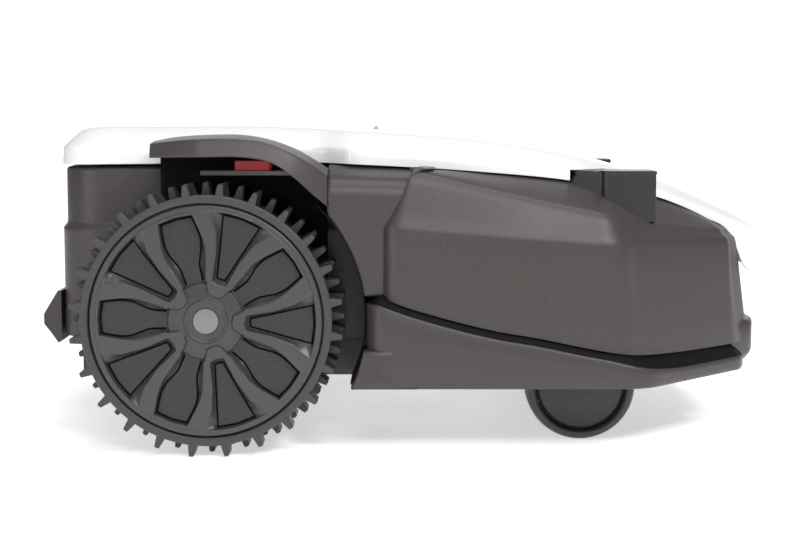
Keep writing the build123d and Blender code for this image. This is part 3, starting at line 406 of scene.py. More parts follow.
foot_top = 0.098
FOOT_FRONT = 0.008
foot_heights = np.linspace(0.0635, foot_top, 6)
foot_x = [float(well_x(np.array(z))) for z in foot_heights]
foot_rows = []
for x, z in zip(foot_x, foot_heights):
    foot_rows.append([
        (x, -0.215, z), (x + 0.001, -0.2565, z), (x + 0.003, -0.2580, z), (FOOT_FRONT, -0.2579, z),
    ])
for inner_y, middle_y, outer_y in ((-0.215, -0.2555, -0.2572), (-0.214, -0.214, -0.214)):
    foot_rows.append([
        (foot_x[-1] + 0.001, inner_y, foot_top + 0.0006), (foot_x[-1] + 0.002, middle_y, foot_top + 0.0008),
        (foot_x[-1] + 0.004, outer_y, foot_top + 0.0008), (FOOT_FRONT, outer_y, foot_top + 0.0008),
    ])
foot_right = skin("skirt_foot_right", foot_rows)
foot_left = mirrored(foot_right, "skirt_foot_left")
for piece, foot, side in ((skirt_right, foot_right, "right"), (skirt_left, foot_left, "left")):
    for part in (piece, foot):
        dress(part, graphite, thick=0.0025, sharp=50.0)
        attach(part, "chassis")
    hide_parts("side_skirt_" + side)
# The sloping ledges carry the near-black painted shade of the gap under the pod.
for ledge in (ledge_right, ledge_left):
    dress(ledge, painted_shade_black, thick=0.0015, sharp=50.0)
    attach(ledge, "chassis")

# --- White top cover -------------------------------------------------------------------
# A glossy white lid moulding that runs from the tail over the back and down the nose as a
# tongue. It drops into the body's rim and is held by clips underneath.

white = moulded("white gloss", (0.70, 0.702, 0.705), 0.34, grain=60.0, bump=0.01, contrast=0.01, coat=0.35)
cover_low_z = smooth_line([
    (-0.345, 0.2695), (-0.24, 0.2705), (-0.08, 0.2715), (-0.008, 0.2685), (0.069, 0.2636), (0.160, 0.2545),
    (0.246, 0.237), (0.278, 0.2255), (0.303, 0.2135), (0.330, 0.196), (0.346, 0.161), (0.362, 0.158),
])
cover_band_z = smooth_line([
    (-0.345, 0.2865), (-0.24, 0.2875), (-0.08, 0.2865), (-0.008, 0.281), (0.069, 0.2745), (0.160, 0.263),
    (0.246, 0.2435), (0.303, 0.2215), (0.340, 0.207), (0.362, 0.199),
])
cover_crown_z = smooth_line([
    (-0.345, 0.3045), (-0.325, 0.3075), (-0.24, 0.3088), (-0.145, 0.3089), (-0.059, 0.3049), (0.073, 0.2948),
    (0.170, 0.2781), (0.254, 0.2543), (0.349, 0.2135), (0.362, 0.2085),
])
cover_plan = resample(rounded(
    [(TAIL_X, 0.0), (TAIL_X, -TAIL_HALF), (-0.085, -TAIL_HALF), (-0.055, -0.194), (0.165, -0.190),
     (0.290, -0.106), (0.3605, -0.090), (0.3618, 0.0)],
    [0, 0.045, 0.03, 0.03, 0.04, 0.05, 0.016, 0], 14), 240)
cover_out = outward(cover_plan)
spine_x = np.clip(cover_plan[:, 0], -0.26, 0.29)
spine = np.stack([spine_x, np.zeros(len(spine_x))], axis=1)
to_spine = spine - cover_plan
spine_run = np.linalg.norm(to_spine, axis=1)


def cover_row(inset, height):
    """One ring of the cover, moved in towards its spine"""
    edge = cover_plan + to_spine * (np.minimum(inset, spine_run) / spine_run)[:, None]
    return np.stack([edge[:, 0], edge[:, 1], height(edge)], axis=1)


def lift(share):
    """Height of a ring that lies this share of the way from the band up to the crown"""
    def height(edge):
        band = cover_band_z(edge[:, 0])
        return band + (cover_crown_z(edge[:, 0]) - 0.0004 - band) * share
    return height


low_edge = cover_low_z(cover_plan[:, 0])
band_edge = cover_band_z(cover_plan[:, 0])
cover_rows = []
for share in (0.0, 0.03, 0.5, 0.93):
    drop = 0.0012 if share == 0 else 0.0
    ring = cover_plan - cover_out * (drop + 0.0012 * share)
    cover_rows.append(np.stack([ring[:, 0], ring[:, 1], low_edge + (band_edge - low_edge) * share], axis=1))
for inset, share in (
    (0.0021, 0.03), (0.0045, 0.13), (0.011, 0.34), (0.019, 0.58), (0.0265, 0.78), (0.031, 0.865),
    (0.037, 0.92), (0.05, 0.953), (0.075, 0.978), (0.11, 0.993), (0.15, 1.0), (0.3, 1.0),
):
    cover_rows.append(cover_row(inset, lift(share)))
cover_right = skin("top_cover_right", cover_rows)
cover_points = [tuple(v.co) for v in cover_right.data.vertices]
cover_faces = [tuple(f.vertices) for f in cover_right.data.polygons]
count = len(cover_points)
cover_points += [(x, -y, z) for x, y, z in cover_points]
cover_faces += [tuple(count + i for i in reversed(f)) for f in cover_faces]
bpy.data.objects.remove(cover_right)
cover = mesh_object("top_cover_skin", cover_points, cover_faces)


def weld(obj, distance):
    """Merge points that lie on one another"""
    edit = bmesh.new()
    edit.from_mesh(obj.data)
    bmesh.ops.remove_doubles(edit, verts=edit.verts, dist=distance)
    bmesh.ops.dissolve_degenerate(edit, edges=edit.edges, dist=distance)
    bmesh.ops.recalc_face_normals(edit, faces=edit.faces)
    edit.to_mesh(obj.data)
    edit.free()


def block(name, low, high):
    """Closed box between two corners"""
    points = [(x, y, z) for x in (low[0], high[0]) for y in (low[1], high[1]) for z in (low[2], high[2])]
    faces = [(0, 1, 3, 2), (4, 6, 7, 5), (0, 4, 5, 1), (2, 3, 7, 6), (0, 2, 6, 4), (1, 5, 7, 3)]
    return mesh_object(name, points, faces)


def drum(name, centre, radius, low, high, steps=96):
    """Closed upright cylinder"""
    turn = np.linspace(0, 2 * math.pi, steps, endpoint=False)
    points = [
        (centre[0] + radius * math.cos(a), centre[1] + radius * math.sin(a), z)
        for z in (low, high) for a in turn
    ]
    faces = [(i, (i + 1) % steps, steps + (i + 1) % steps, steps + i) for i in range(steps)]
    faces += [tuple(reversed(range(steps))), tuple(range(steps, 2 * steps))]
    return mesh_object(name, points, faces)


def carve(obj, tools):
    """Cut the tools out of a walled skin, keep the result as its mesh and drop the tools"""
    for tool in tools:
        cut = obj.modifiers.new(tool.name, "BOOLEAN")
        cut.operation = "DIFFERENCE"
        cut.solver = "EXACT"
        cut.object = tool
    graph = bpy.context.evaluated_depsgraph_get()
    mesh = bpy.data.meshes.new_from_object(obj.evaluated_get(graph))
    obj.modifiers.clear()
    obj.data = mesh
    for tool in tools:
        bpy.data.objects.remove(tool)


weld(cover, 0.0002)
dress(cover, white, thick=0.0025, sharp=40.0)
lid_low, lid_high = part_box("control_lid")
cup_low, cup_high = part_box("button_cup")
GAP = 0.0006
ABOVE_COVER = 0.33
cup_x = (cup_low[0] + cup_high[0]) / 2
cup_radius = (cup_high[0] - cup_low[0]) / 2
lid_cut_low = (lid_low[0] - GAP, lid_low[1] - GAP, lid_low[2] - 0.006)
lid_cut_high = (lid_high[0] + GAP, lid_high[1] + GAP, ABOVE_COVER)
tools = [
    block("lid_cut", lid_cut_low, lid_cut_high),
    drum("cup_cut", (cup_x, 0.0), cup_radius + 0.0003, 0.27, ABOVE_COVER),
]
trim = np.array([0.0075, 0.0008, 0.0])
for side in ("right", "left"):
    housing_low, housing_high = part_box("sensor_housing_" + side)
    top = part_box("sensor_lid_" + side)[1][2] + 0.0004
    far_corner = (housing_high[0] - 0.001, housing_high[1] - 0.0008, top)
    tools.append(block("sensor_cut_" + side, np.array(housing_low) + trim, far_corner))
carve(cover, tools)
dress(cover, white, sharp=40.0)
LID_WELL_DEPTH = 0.015
LID_WELL_RIM = 0.0032
lid_well = mesh_object("lid_well", [
    (x, y, float(cover_crown_z(x)) - drop) for x in (lid_low[0] + GAP, lid_high[0] - GAP)
    for y in (lid_low[1] + GAP, lid_high[1] - GAP) for drop in (LID_WELL_DEPTH, LID_WELL_RIM)
], [(0, 2, 3, 1), (4, 5, 7, 6), (0, 1, 5, 4), (2, 6, 7, 3), (0, 4, 6, 2)])
dress(lid_well, white, sharp=40.0)
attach(lid_well, "chassis")
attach(cover, "chassis")
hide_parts("top_cover")

# --- Fenders ---------------------------------------------------------------------------
# A curved guard over each drive wheel with a deep lip. It is moulded in the body's graphite
# plastic, screwed to the rear box, and its lip turns inwards at both ends.

fender_top = smooth_line([
    (-0.2415, 0.2915), (-0.215, 0.2945), (-0.186, 0.2962), (-0.15, 0.2953), (-0.132, 0.2925), (-0.108, 0.2825),
    (-0.088, 0.2705), (-0.0762, 0.2615),
])
fender_low = smooth_line([
    (-0.2415, 0.2785), (-0.192, 0.2794), (-0.146, 0.2785), (-0.124, 0.2728), (-0.105, 0.2595), (-0.09, 0.2455),
    (-0.0762, 0.2335),
])
fender_ridge = smooth_line([
    (-0.2415, 0.2935), (-0.225, 0.2968), (-0.19, 0.2995), (-0.155, 0.2992), (-0.13, 0.2945), (-0.105, 0.285),
    (-0.0762, 0.2675),
])
FENDER_REAR_X = -0.2415
fender_rows = []
for x in np.linspace(FENDER_REAR_X, FENDER_FRONT_X, 60):
    rear_turn = 0.016 * np.clip((-0.196 - x) / 0.045, 0, 1) ** 1.3
    front_turn = 0.013 * np.clip((x + 0.112) / 0.036, 0, 1) ** 1.3
    y = -(0.2555 - (rear_turn + front_turn))
    top = float(fender_top(x))
    foot = float(fender_low(x))
    ridge = float(fender_ridge(x))
    section = rounded([
        (-0.1735, ridge - 0.002), (-0.205, ridge), (y + 0.0056, top), (y - 0.0002, foot), (y + 0.0028, foot),
        (y + 0.0088, top - 0.0035), (-0.205, ridge - 0.003), (-0.1735, ridge - 0.005),
    ], [0, 0.02, 0.0035, 0.001, 0.001, 0.002, 0.02, 0], 6)
    fender_rows.append([(x, a, b) for a, b in section])
fender_right = skin("fender_right_skin", fender_rows, wrap=True, flip=True)
fender_left = mirrored(fender_right, "fender_left_skin")
end_count = len(fender_rows[0])
for side, piece in (("right", fender_right), ("left", fender_left)):
    edit = bmesh.new()
    edit.from_mesh(piece.data)
    edit.verts.ensure_lookup_table()
    total = len(edit.verts)
    edit.faces.new([edit.verts[i] for i in range(end_count)])
    edit.faces.new([edit.verts[total - end_count + i] for i in range(end_count)])
    bmesh.ops.recalc_face_normals(edit, faces=edit.faces)
    edit.to_mesh(piece.data)
    edit.free()
    dress(piece, graphite, sharp=40.0)
    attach(piece, "chassis")
    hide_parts("fender_" + side)

# --- Drive wheel tyres -----------------------------------------------------------------
# Black rubber, moulded in one with three rows of tapered lugs, the middle row staggered by
# half a pitch. A flange on the outer side carries the first row, and the tread is ribbed.

rubber = moulded("tyre rubber", (0.030, 0.0290, 0.0288), 0.46, grain=700.0, bump=0.15, contrast=0.2)
TIP = 0.128
FLANGE = 0.1172
FACE = 0.265
LUGS = 24
LUG_PHASE = 8.3


def wheel_point(radius, angle, depth):
    """Point on the right wheel at this radius, angle in degrees and distance from the middle plane"""
    a = math.radians(angle)
    return (axle[0] + radius * math.cos(a), -depth, axle[2] + radius * math.sin(a))


def turned(name, profile, around, steps=144):
    """Closed ring turned about a wheel's axle from (radius, depth) points"""
    rows = []
    for r, depth in profile:
        rows.append([
            (around[0] + r * math.cos(a), -depth, around[2] + r * math.sin(a))
            for a in np.linspace(0, 2 * math.pi, steps, endpoint=False)
        ])
    return skin(name, rows, wrap=True)


tread_profile = rounded([
    (0.1005, 0.1815), (0.113, 0.1805), (0.1135, 0.2), (0.1115, 0.202), (0.1115, 0.206), (0.1135, 0.208),
    (0.1135, 0.217), (0.1115, 0.219), (0.1115, 0.223), (0.1135, 0.225), (0.1135, 0.234), (0.1115, 0.236),
    (0.1115, 0.240), (0.1135, 0.242), (0.1140, 0.2525), (0.1168, 0.2540), (FLANGE, 0.2562), (FLANGE, 0.2632),
    (0.1160, 0.2642), (0.1103, 0.2642), (0.1093, 0.2628), (0.1093, 0.2566), (0.1005, 0.2566), (0.1005, 0.1815),
], 0.0006, 3)
tread = turned("tread", tread_profile, axle)
tyre_points = [tuple(v.co) for v in tread.data.vertices]
tyre_faces = [tuple(f.vertices) for f in tread.data.polygons]
bpy.data.objects.remove(tread)


def add_lug(angle, near, far, root, tip, root_half, tip_half):
    """One tapered lug as a block with chamfered edges"""
    rings = []
    for depth, draw in ((near, 0.0006), (near + 0.0008, 0.0), (far - 0.0008, 0.0), (far, 0.0006)):
        ring = []
        for radius, half in (
            (root, root_half), (tip - 0.0008, tip_half + 0.0003), (tip, tip_half - 0.0006),
        ):
            ring.append((radius - draw * 0.6, half - draw))
        ring += [(r, -h) for r, h in reversed(ring)]
        rings.append([wheel_point(r, angle + math.degrees(math.atan2(h, r)), depth) for r, h in ring])
    base = len(tyre_points)
    size = len(rings[0])
    for ring in rings:
        tyre_points.extend(ring)
    for k in range(len(rings) - 1):
        for i in range(size):
            j = (i + 1) % size
            a = base + k * size
            tyre_faces.append((a + i, a + j, a + size + j, a + size + i))
    tyre_faces.append(tuple(base + i for i in range(size)))
    tyre_faces.append(tuple(base + (len(rings) - 1) * size + i for i in reversed(range(size))))


for near, far, shift, root in (
    (0.2405, 0.2640, 0.0, 0.1130), (0.2125, 0.2375, 0.5, 0.1125), (0.1830, 0.2090, 0.0, 0.1125),
):
    for lug in range(LUGS):
        angle = LUG_PHASE + (lug + shift) * 360 / LUGS
        add_lug(angle, near, far, root, TIP - 0.0002, 0.0048, 0.0021)
tyre_right = mesh_object("tyre_right", tyre_points, tyre_faces)
tyre_left = mirrored(tyre_right, "tyre_left")
for side, piece in (("right", tyre_right), ("left", tyre_left)):
    dress(piece, rubber, sharp=32.0)
    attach(piece, "drive_wheel_" + side)
    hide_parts("drive_tyre_" + side)

# --- Wheel caps ------------------------------------------------------------------------
# A round graphite plate with five forked spokes standing over sunk fields, snapped into the
# rim. The boss in the middle holds a plain satin badge. The sunk fields and the grooves round
# them carry painted shade: darker and less glossy the deeper they lie.

FACE_DEPTH = 0.2636
FLOOR_DEPTH = 0.2582
cap_plastic = moulded("cap plastic", (0.038, 0.0368, 0.0365), 0.34, grain=900.0, bump=0.16, contrast=0.24)


def paint_floor_shade(material, face, floor, share):
    """Paint shade into a cap's sunk fields: darker and less reflective the further they lie behind its face"""
    nodes = material.node_tree.nodes
    links = material.node_tree.links
    shader = nodes["Principled BSDF"]
    plain = shader.inputs["Base Color"].links[0].from_socket
    place = nodes.new("ShaderNodeTexCoord")
    split = nodes.new("ShaderNodeSeparateXYZ")
    links.new(place.outputs["Object"], split.inputs[0])
    side = nodes.new("ShaderNodeMath")
    side.operation = "ABSOLUTE"
    links.new(split.outputs["Y"], side.inputs[0])
    depth = nodes.new("ShaderNodeMapRange")
    depth.inputs["From Min"].default_value = floor - 0.0014
    depth.inputs["From Max"].default_value = face
    links.new(side.outputs[0], depth.inputs["Value"])
    shade_tone = nodes.new("ShaderNodeValToRGB")
    shade_tone.color_ramp.elements[0].color = (0.03, 0.03, 0.03, 1)
    shade_tone.color_ramp.elements[1].color = (1, 1, 1, 1)
    middle = shade_tone.color_ramp.elements.new(0.24)
    middle.color = (share, share, share, 1)
    links.new(depth.outputs["Result"], shade_tone.inputs["Fac"])
    gloss = nodes.new("ShaderNodeMath")
    gloss.operation = "MULTIPLY"
    gloss.inputs[1].default_value = 0.5
    links.new(shade_tone.outputs["Color"], gloss.inputs[0])
    links.new(gloss.outputs[0], shader.inputs["Specular IOR Level"])
    blend = nodes.new("ShaderNodeMix")
    blend.data_type = "RGBA"
    blend.blend_type = "MULTIPLY"
    blend.inputs[0].default_value = 1.0
    links.new(plain, blend.inputs[6])
    links.new(shade_tone.outputs["Color"], blend.inputs[7])
    links.new(blend.outputs[2], shader.inputs["Base Color"])


# Painted shade: the cap's sunk fields and deepest grooves are darkened and lose reflection by depth.
paint_floor_shade(cap_plastic, FACE_DEPTH, FLOOR_DEPTH, 0.78)
badge_plastic = moulded("badge satin", (0.16, 0.16, 0.165), 0.3, grain=300.0, bump=0.03, contrast=0.05)
CAP = 0.1083
CAP_BACK = 0.2575
HUB = 0.0375
GROOVE = 0.0016
FORKS = 5
FORK_PHASE = -2.0


def polygon_distance(px, py, corners):
    """Signed distance to a closed polygon, negative inside"""
    corners = np.array(corners, float)
    best = np.full(px.shape, 1e9)
    inside = np.zeros(px.shape, bool)
    for (ax, ay), (bx, by) in zip(corners, np.roll(corners, -1, axis=0)):
        ex, ey = bx - ax, by - ay
        t = np.clip(((px - ax) * ex + (py - ay) * ey) / (ex * ex + ey * ey), 0, 1)
        best = np.minimum(best, np.hypot(px - ax - t * ex, py - ay - t * ey))
        crosses = (ay > py) != (by > py)
        with np.errstate(divide="ignore", invalid="ignore"):
            at = (bx - ax) * (py - ay) / (by - ay) + ax
        inside ^= crosses & (px < at)
    return np.where(inside, -best, best)


def ramp(value, start, end):
    """Smooth step from 0 at start to 1 at end"""
    t = np.clip((value - start) / (end - start), 0, 1)
    return t * t * (3 - 2 * t)


fork_pocket = [
    (0.0405, -0.0052), (0.0395, 0.0), (0.0405, 0.0052), (0.100, 0.0195), (0.102, 0.0), (0.100, -0.0195),
]
fork_root = [(0.0255, -0.006), (0.0245, 0.0), (0.0255, 0.006), (0.05, 0.02), (0.05, -0.02)]
fork_flare = [
    (0.037, -0.0070), (0.0355, 0.0), (0.037, 0.0070), (0.062, 0.0115), (0.082, 0.019), (0.0985, 0.0330),
    (0.1025, 0.012), (0.1025, -0.012), (0.0985, -0.0330), (0.082, -0.019), (0.062, -0.0115),
]
petal_side = [
    (0.030, 0.0095), (0.038, 0.0118), (0.047, 0.0156), (0.056, 0.0190), (0.066, 0.0204), (0.078, 0.0196),
    (0.0985, 0.0165),
]
petal = petal_side + [(0.1002, 0.0)] + [(x, -y) for x, y in reversed(petal_side)]


def cap_relief(radius, angle):
    """How far each point of the cap lies behind its front face"""
    period = 360.0 / FORKS
    fork_angle = np.radians((angle - FORK_PHASE + period / 2) % period - period / 2)
    petal_angle = np.radians((angle - FORK_PHASE) % period - period / 2)
    fx, fy = radius * np.cos(fork_angle), radius * np.sin(fork_angle)
    gx, gy = radius * np.cos(petal_angle), radius * np.sin(petal_angle)
    floor = 0.0062
    slope = 0.0012 + 0.0062 * np.exp(-((gx - 0.055) / 0.015) ** 2)
    petal_inside = -polygon_distance(gx, gy, petal)
    groove = GROOVE * np.exp(-((petal_inside - slope - 0.0005) / 0.0006) ** 2) * (radius > HUB)
    sunk = floor * ramp(petal_inside, 0.0, slope) + groove
    hub = 0.0022 + 0.0012 * ramp(radius, 0.020, 0.0345) + (floor - 0.0034) * ramp(radius, 0.0345, 0.0368)
    fork_tip = ramp(-polygon_distance(fx, fy, fork_root), -0.0014, 0.0008)
    relief = np.where(radius < HUB, np.minimum(hub, floor) * (1 - fork_tip), sunk)
    pocket_inside = -polygon_distance(fx, fy, fork_pocket)
    pocket_groove = GROOVE * np.exp(-((pocket_inside - 0.0012) / 0.0006) ** 2)
    pocket = floor * ramp(pocket_inside, -0.0003, 0.0007) + pocket_groove
    flare_inside = -polygon_distance(fx, fy, fork_flare)
    to_floor = np.maximum(polygon_distance(fx, fy, fork_pocket), 0)
    share = np.clip(flare_inside / (np.maximum(flare_inside, 0) + to_floor + 1e-6), 0, 1)
    facet = floor * np.where(flare_inside > 0, share, 0)
    relief = np.maximum(relief, np.maximum(pocket, facet))
    relief = relief * (1 - ramp(radius, 0.1010, 0.1030)) + 0.0009 * ramp(radius, 0.1022, 0.1030)
    boss = ramp(radius, 0.0178, 0.0186) * (1 - ramp(radius, 0.0196, 0.0206))
    seat = 0.0016 - 0.0014 * boss + 0.0008 * (1 - ramp(radius, 0.0122, 0.0130))
    inner = np.where(radius < 0.0206, seat, relief)
    outer = 0.0016 * ramp(radius, 0.1068, CAP)
    return inner + outer


rings = np.concatenate([
    [0.0001], np.linspace(0.004, 0.0116, 4), np.linspace(0.0120, 0.0210, 22), np.linspace(0.0218, 0.0380, 28),
    np.linspace(0.0388, 0.0980, 84), np.linspace(0.0985, 0.1040, 18), np.linspace(0.1048, CAP, 6),
])
turns = np.linspace(0, 360, 1080, endpoint=False)
radius_grid, turn_grid = np.meshgrid(rings, turns, indexing="ij")
depth_grid = FACE - 0.0006 - cap_relief(radius_grid, turn_grid)
radian_grid = np.radians(turn_grid)
cap_grid = np.stack([
    axle[0] + radius_grid * np.cos(radian_grid), -depth_grid, axle[2] + radius_grid * np.sin(radian_grid)
], axis=2)
back_ring = cap_grid[-1].copy()
back_ring[:, 1] = -CAP_BACK
cap_grid = np.concatenate([cap_grid, back_ring[None]], axis=0)
cap_right = skin("cap_right", cap_grid, wrap=True)
cap_left = mirrored(cap_right, "cap_left")
badge_profile = [(0.0002, 0.26395), (0.0075, 0.26385), (0.0112, 0.2634), (0.0119, 0.2626), (0.0119, 0.2612)]
badge_right = turned("badge_right", badge_profile, axle, 96)
badge_left = mirrored(badge_right, "badge_left")
for side, cap, badge in (("right", cap_right, badge_right), ("left", cap_left, badge_left)):
    dress(cap, cap_plastic, sharp=60.0)
    dress(badge, badge_plastic, sharp=40.0)
    for piece, name, node in ((cap, "cap", "wheel_cap_"), (badge, "badge", "wheel_badge_")):
        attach(piece, "drive_wheel_" + side)
        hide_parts(node + side)

# --- Casters ---------------------------------------------------------------------------
# Each front wheel is a nylon hub with a soft rubber band and a domed side, running on a
# steel axle in a one-armed nylon fork whose stem turns in a bronze bush.

hub_nylon = moulded("hub nylon", (0.022, 0.021, 0.021), 0.48, grain=500.0, bump=0.08)
caster = np.array([0.169, 0.0, 0.054])
caster_face = (abs(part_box("caster_tyre_right")[0][1]), abs(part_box("caster_tyre_right")[1][1]))
caster_out, caster_in = max(caster_face), min(caster_face)
dome_profile = rounded([
    (0.0003, caster_out + 0.0002), (0.012, caster_out), (0.026, caster_out - 0.002),
    (0.0385, caster_out - 0.0058), (0.0410, caster_out - 0.0062), (0.0422, caster_out - 0.0085),
    (0.0438, caster_out - 0.0088), (0.0438, caster_in + 0.004), (0.0380, caster_in + 0.003),
    (0.0120, caster_in + 0.001), (0.0066, caster_in + 0.001), (0.0052, caster_in + 0.002),
    (0.0052, caster_out - 0.012),
], 0.001, 4)
hub_right = turned("caster_hub_skin_right", dome_profile, caster, 96)
hub_left = mirrored(hub_right, "caster_hub_skin_left")
band_profile = rounded([
    (0.0441, caster_in + 0.003), (0.0465, caster_in + 0.0012), (0.0515, caster_in + 0.004),
    (0.0538, caster_in + 0.012), (0.0540, caster_in + 0.022), (0.0538, caster_out - 0.012),
    (0.0515, caster_out - 0.004), (0.0470, caster_out - 0.0022), (0.0450, caster_out - 0.0036),
    (0.0441, caster_out - 0.006), (0.0441, caster_in + 0.003),
], 0.004, 6)
band_right = turned("caster_band_right", band_profile, caster, 128)
band_left = mirrored(band_right, "caster_band_left")
for side, hub, band in (("right", hub_right, band_right), ("left", hub_left, band_left)):
    dress(hub, hub_nylon, sharp=40.0)
    dress(band, rubber, sharp=40.0)
    for piece, name, node in ((hub, "cap", "caster_hub_"), (band, "tyre", "caster_tyre_")):
        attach(piece, "caster_wheel_" + side)
        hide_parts(node + side)

# --- Front bumper ----------------------------------------------------------------------
# A rounded hollow bar across the nose in the body's graphite plastic, snapped onto the tray.
# Its upper edge slopes back to the body and its lower edge tucks in.

bumper_corners = [(0.326, -0.126), (0.352, -0.100), (0.3600, -0.066), (0.3612, 0.0)]
bumper_corners += [(x, -y) for x, y in reversed(bumper_corners[:-1])]
bumper_plan = resample(rounded(bumper_corners, 0.022, 10), 110)
bumper_out = outward(bumper_plan)
bumper_rows = []
for step_in, z in (
    (0.014, 0.0655), (0.0062, 0.0680), (0.0014, 0.0742), (0.0, 0.0775), (0.0, 0.1030), (0.0012, 0.1062),
    (0.0042, 0.1085), (0.014, 0.1085),
):
    edge = bumper_plan - bumper_out * step_in
    bumper_rows.append(np.stack([edge[:, 0], edge[:, 1], np.full(len(edge), z)], axis=1))
bumper = skin("front_bumper_skin", bumper_rows)
dress(bumper, graphite, thick=0.0025, sharp=50.0)
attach(bumper, "chassis")
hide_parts("front_bumper")

# --- Sensor blocks ---------------------------------------------------------------------
# A black housing on each side of the deck, narrower at the rear, where it also leans forward.
# A flat lid covers the whole block. Moulded in black plastic and screwed from below.

black = moulded("sensor black", (0.010, 0.010, 0.0102), 0.36, grain=900.0, bump=0.1)
block_low, block_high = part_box("sensor_housing_right")
lid_box_low, lid_box_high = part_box("sensor_lid_right")
rear_edge, front_edge = block_low[0] + 0.0006, block_high[0] - 0.0010
outer_edge, inner_edge = block_low[1] + 0.0006, block_high[1] - 0.0006
block_plan = resample(rounded([
    (rear_edge + 0.012, inner_edge), (rear_edge, inner_edge), (rear_edge, outer_edge + 0.0065),
    (rear_edge + 0.036, outer_edge + 0.0055), (rear_edge + 0.041, outer_edge), (front_edge, outer_edge),
    (front_edge, inner_edge), (rear_edge + 0.012, inner_edge),
], [0, 0.004, 0.009, 0.004, 0.006, 0.0012, 0.003, 0], 8), 120)[:-1]
REAR_RUN = 0.03
REAR_LEAN = 0.011
block_rear = np.clip((rear_edge + REAR_RUN - block_plan[:, 0]) / REAR_RUN, 0, 1)
block_rows = []
for t in (0.0, 0.3, 0.5, 0.65, 0.78, 0.88, 0.95, 1.0):
    ring = block_plan.copy()
    ring[:, 0] += block_rear * REAR_LEAN * t ** 3
    height = block_low[2] + (lid_box_low[2] + 0.0004 - block_low[2]) * t
    block_rows.append(np.stack([ring[:, 0], ring[:, 1], np.full(len(ring), height)], axis=1))
block_right = skin("sensor_block_right", block_rows, wrap=True, flip=True)
lid_rows = []
lid_plan = block_plan + np.stack([block_rear * REAR_LEAN, 0 * block_rear], axis=1)
lid_middle = np.array([(rear_edge + front_edge) / 2, (outer_edge + inner_edge) / 2])
for grow, height in (
    (0.90, lid_box_low[2]), (1.012, lid_box_low[2] + 0.0002), (1.018, lid_box_low[2] + 0.0010),
    (1.012, lid_box_high[2] - 0.0008), (0.985, lid_box_high[2] - 0.0002), (0.5, lid_box_high[2]),
    (0.01, lid_box_high[2]),
):
    ring = lid_middle + (lid_plan - lid_middle) * grow
    lid_rows.append(np.stack([ring[:, 0], ring[:, 1], np.full(len(ring), height)], axis=1))
block_lid_right = skin("sensor_lid_skin_right", lid_rows, wrap=True, flip=True)
block_left = mirrored(block_right, "sensor_block_left")
block_lid_left = mirrored(block_lid_right, "sensor_lid_skin_left")
for side, body, lid in (("right", block_right, block_lid_right), ("left", block_left, block_lid_left)):
    for piece, node in ((body, "sensor_housing_"), (lid, "sensor_lid_")):
        dress(piece, black, sharp=35.0)
        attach(piece, "chassis")
        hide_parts(node + side)

# --- Plain pieces ----------------------------------------------------------------------
# Pieces that are simple enough to show as designed: rear bumper, nose window, button, control
# lid, tray, forks, shafts, motors, battery and cutting unit. Each gets its finish and, where
# it needs them, softened edges.

tray_black = moulded("tray black", (0.03, 0.03, 0.031), 0.55, grain=500.0)
red = moulded("mount red", (0.5, 0.02, 0.015), 0.4, grain=500.0, bump=0.06, contrast=0.08)
grey = moulded("bracket grey", (0.13, 0.125, 0.125), 0.45, grain=500.0, bump=0.06, contrast=0.06)
steel = moulded("turned steel", (0.55, 0.55, 0.56), 0.3, grain=250.0, bump=0.04, contrast=0.06, metallic=1.0)
cast = moulded("cast aluminium", (0.42, 0.43, 0.44), 0.5, grain=350.0, bump=0.2, contrast=0.1, metallic=1.0)
bronze = moulded("sintered bronze", (0.45, 0.28, 0.13), 0.45, grain=800.0, bump=0.2, metallic=1.0)
brass = moulded("plated contact", (0.72, 0.6, 0.36), 0.25, grain=300.0, bump=0.02, contrast=0.05, metallic=1.0)
battery_case = moulded("battery case", (0.06, 0.07, 0.075), 0.5, grain=400.0)
board_green = moulded("solder mask", (0.02, 0.14, 0.05), 0.35, grain=200.0, bump=0.05)
smoked = moulded("smoked window", (0.3, 0.3, 0.31), 0.2, grain=100.0, bump=0.01, contrast=0.02, coat=0.5)
button_red = moulded("button red", (0.62, 0.025, 0.02), 0.35, grain=300.0, bump=0.03, contrast=0.05)
# The wheel rim shares the cap plastic, so it carries the same painted shade by depth.
finishes = {
    "chassis_tray": (tray_black, 0.0008), "rear_bumper": (graphite, 0.002), "nose_window": (smoked, 0.0),
    "button_cup": (white, 0.0005), "stop_button": (button_red, 0.0), "control_lid": (white, 0.0006),
    "control_panel": (black, 0.0004), "lid_pin": (steel, 0.0), "main_board": (board_green, 0.0002),
    "battery_pack": (battery_case, 0.001), "gearmotor": (cast, 0.001), "wheel_shaft": (steel, 0.0004),
    "wheel_rim": (cap_plastic, 0.0006), "caster_fork": (tray_black, 0.0012), "caster_stem": (steel, 0.0004),
    "caster_axle": (steel, 0.0004), "caster_bushes": (bronze, 0.0), "charge_contact": (brass, 0.0003),
    "shell_mount": (red, 0.001), "mount_bracket": (grey, 0.0008), "guide_rods": (steel, 0.0004),
    "height_bridge": (grey, 0.001), "height_carriage": (grey, 0.001), "cutting_motor": (cast, 0.001),
    "blade_disc": (cast, 0.0005), "blade_screws": (steel, 0.0003), "blade": (steel, 0.0001),
    "skid_plate": (tray_black, 0.0005),
}
for node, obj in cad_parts.items():
    for name, (material, bevel_width) in finishes.items():
        tail = node[len(name):]
        if node.startswith(name) and tail in ("", "_left", "_right", "_1", "_2", "_3"):
            dress(obj, material, bevel=bevel_width, sharp=32.0)

# --- Floor, light and camera -----------------------------------------------------------
# A pale, faintly glowing floor, a bright backdrop and four soft boxes: a narrow one towards
# the rear, one towards the nose, a key and one above.

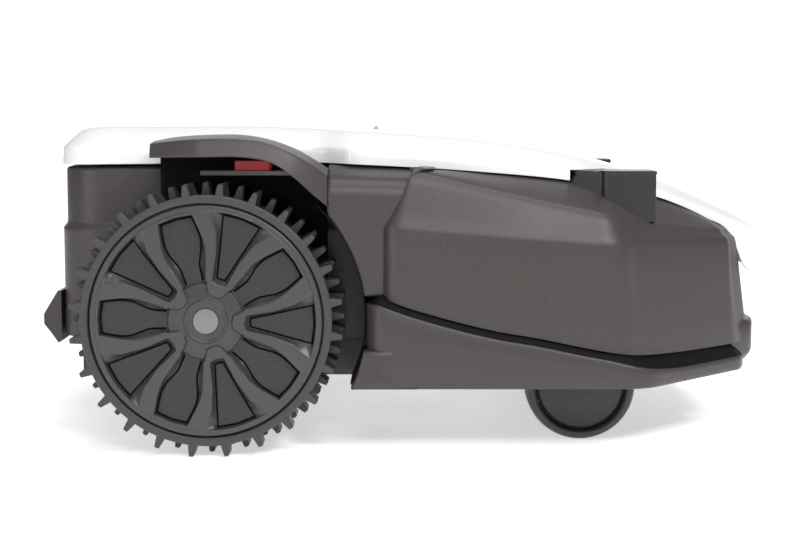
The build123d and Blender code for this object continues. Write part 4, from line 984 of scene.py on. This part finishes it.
floor_mesh = mesh_object("floor", [(-9, -6, 0), (9, -6, 0), (9, 12, 0), (-9, 12, 0)], [(0, 1, 2, 3)])
floor_material = bpy.data.materials.new("studio floor")
floor_material.use_nodes = True
floor_shader = floor_material.node_tree.nodes["Principled BSDF"]
floor_shader.inputs["Base Color"].default_value = (0.97, 0.97, 0.97, 1)
floor_shader.inputs["Roughness"].default_value = 0.7
floor_shader.inputs["Emission Color"].default_value = (1, 1, 1, 1)
floor_shader.inputs["Emission Strength"].default_value = 0.42
floor_mesh.data.materials.append(floor_material)

backdrop = mesh_object("backdrop", [(-4, 9, -0.5), (4, 9, -0.5), (4, 9, 4), (-4, 9, 4)], [(0, 1, 2, 3)])
backdrop_material = bpy.data.materials.new("studio backdrop")
backdrop_material.use_nodes = True
backdrop_shader = backdrop_material.node_tree.nodes["Principled BSDF"]
backdrop_shader.inputs["Base Color"].default_value = (0.97, 0.97, 0.97, 1)
backdrop_shader.inputs["Emission Color"].default_value = (1, 1, 1, 1)
backdrop_shader.inputs["Emission Strength"].default_value = 1.0
backdrop.data.materials.append(backdrop_material)

world = bpy.data.worlds.new("studio")
bpy.context.scene.world = world
world.use_nodes = True
world.node_tree.nodes["Background"].inputs["Color"].default_value = (1, 1, 1, 1)
world.node_tree.nodes["Background"].inputs["Strength"].default_value = 0.24


def soft_box(name, place, aim, width, height, power):
    """Rectangular studio light turned to its aim point"""
    lamp = bpy.data.lights.new(name, "AREA")
    lamp.shape = "RECTANGLE"
    lamp.size = width
    lamp.size_y = height
    lamp.energy = power
    holder = bpy.data.objects.new(name, lamp)
    bpy.context.scene.collection.objects.link(holder)
    holder.location = place
    holder.rotation_euler = (Vector(aim) - Vector(place)).to_track_quat("-Z", "Y").to_euler()
    return holder


lights = [
    soft_box("rear side box", (-1.5, -1.7, 0.6), (-0.02, -0.2, 0.15), 0.16, 1.0, 6),
    soft_box("nose side box", (1.45, -1.95, 2.0), (0.2, -0.2, 0.2), 0.5, 0.5, 30),
    soft_box("key box", (0.15, -2.4, 1.75), (0.0, -0.2, 0.22), 1.1, 0.35, 20),
    soft_box("top box", (0.3, -0.3, 2.3), (0, 0, 0.1), 2.0, 1.2, 20),
]

camera_data = bpy.data.cameras.new("camera")
camera_data.lens = 74.25
camera_data.sensor_width = 36.0
camera = bpy.data.objects.new("camera", camera_data)
bpy.context.scene.collection.objects.link(camera)
camera.location = (-0.008, -1.778, 0.327)
camera.rotation_euler = (math.radians(90 - 5.57), 0, 0)
bpy.context.scene.camera = camera
bpy.context.scene.view_settings.view_transform = "Standard"
bpy.context.scene.view_settings.look = "None"
bpy.context.scene.view_settings.exposure = 0.35
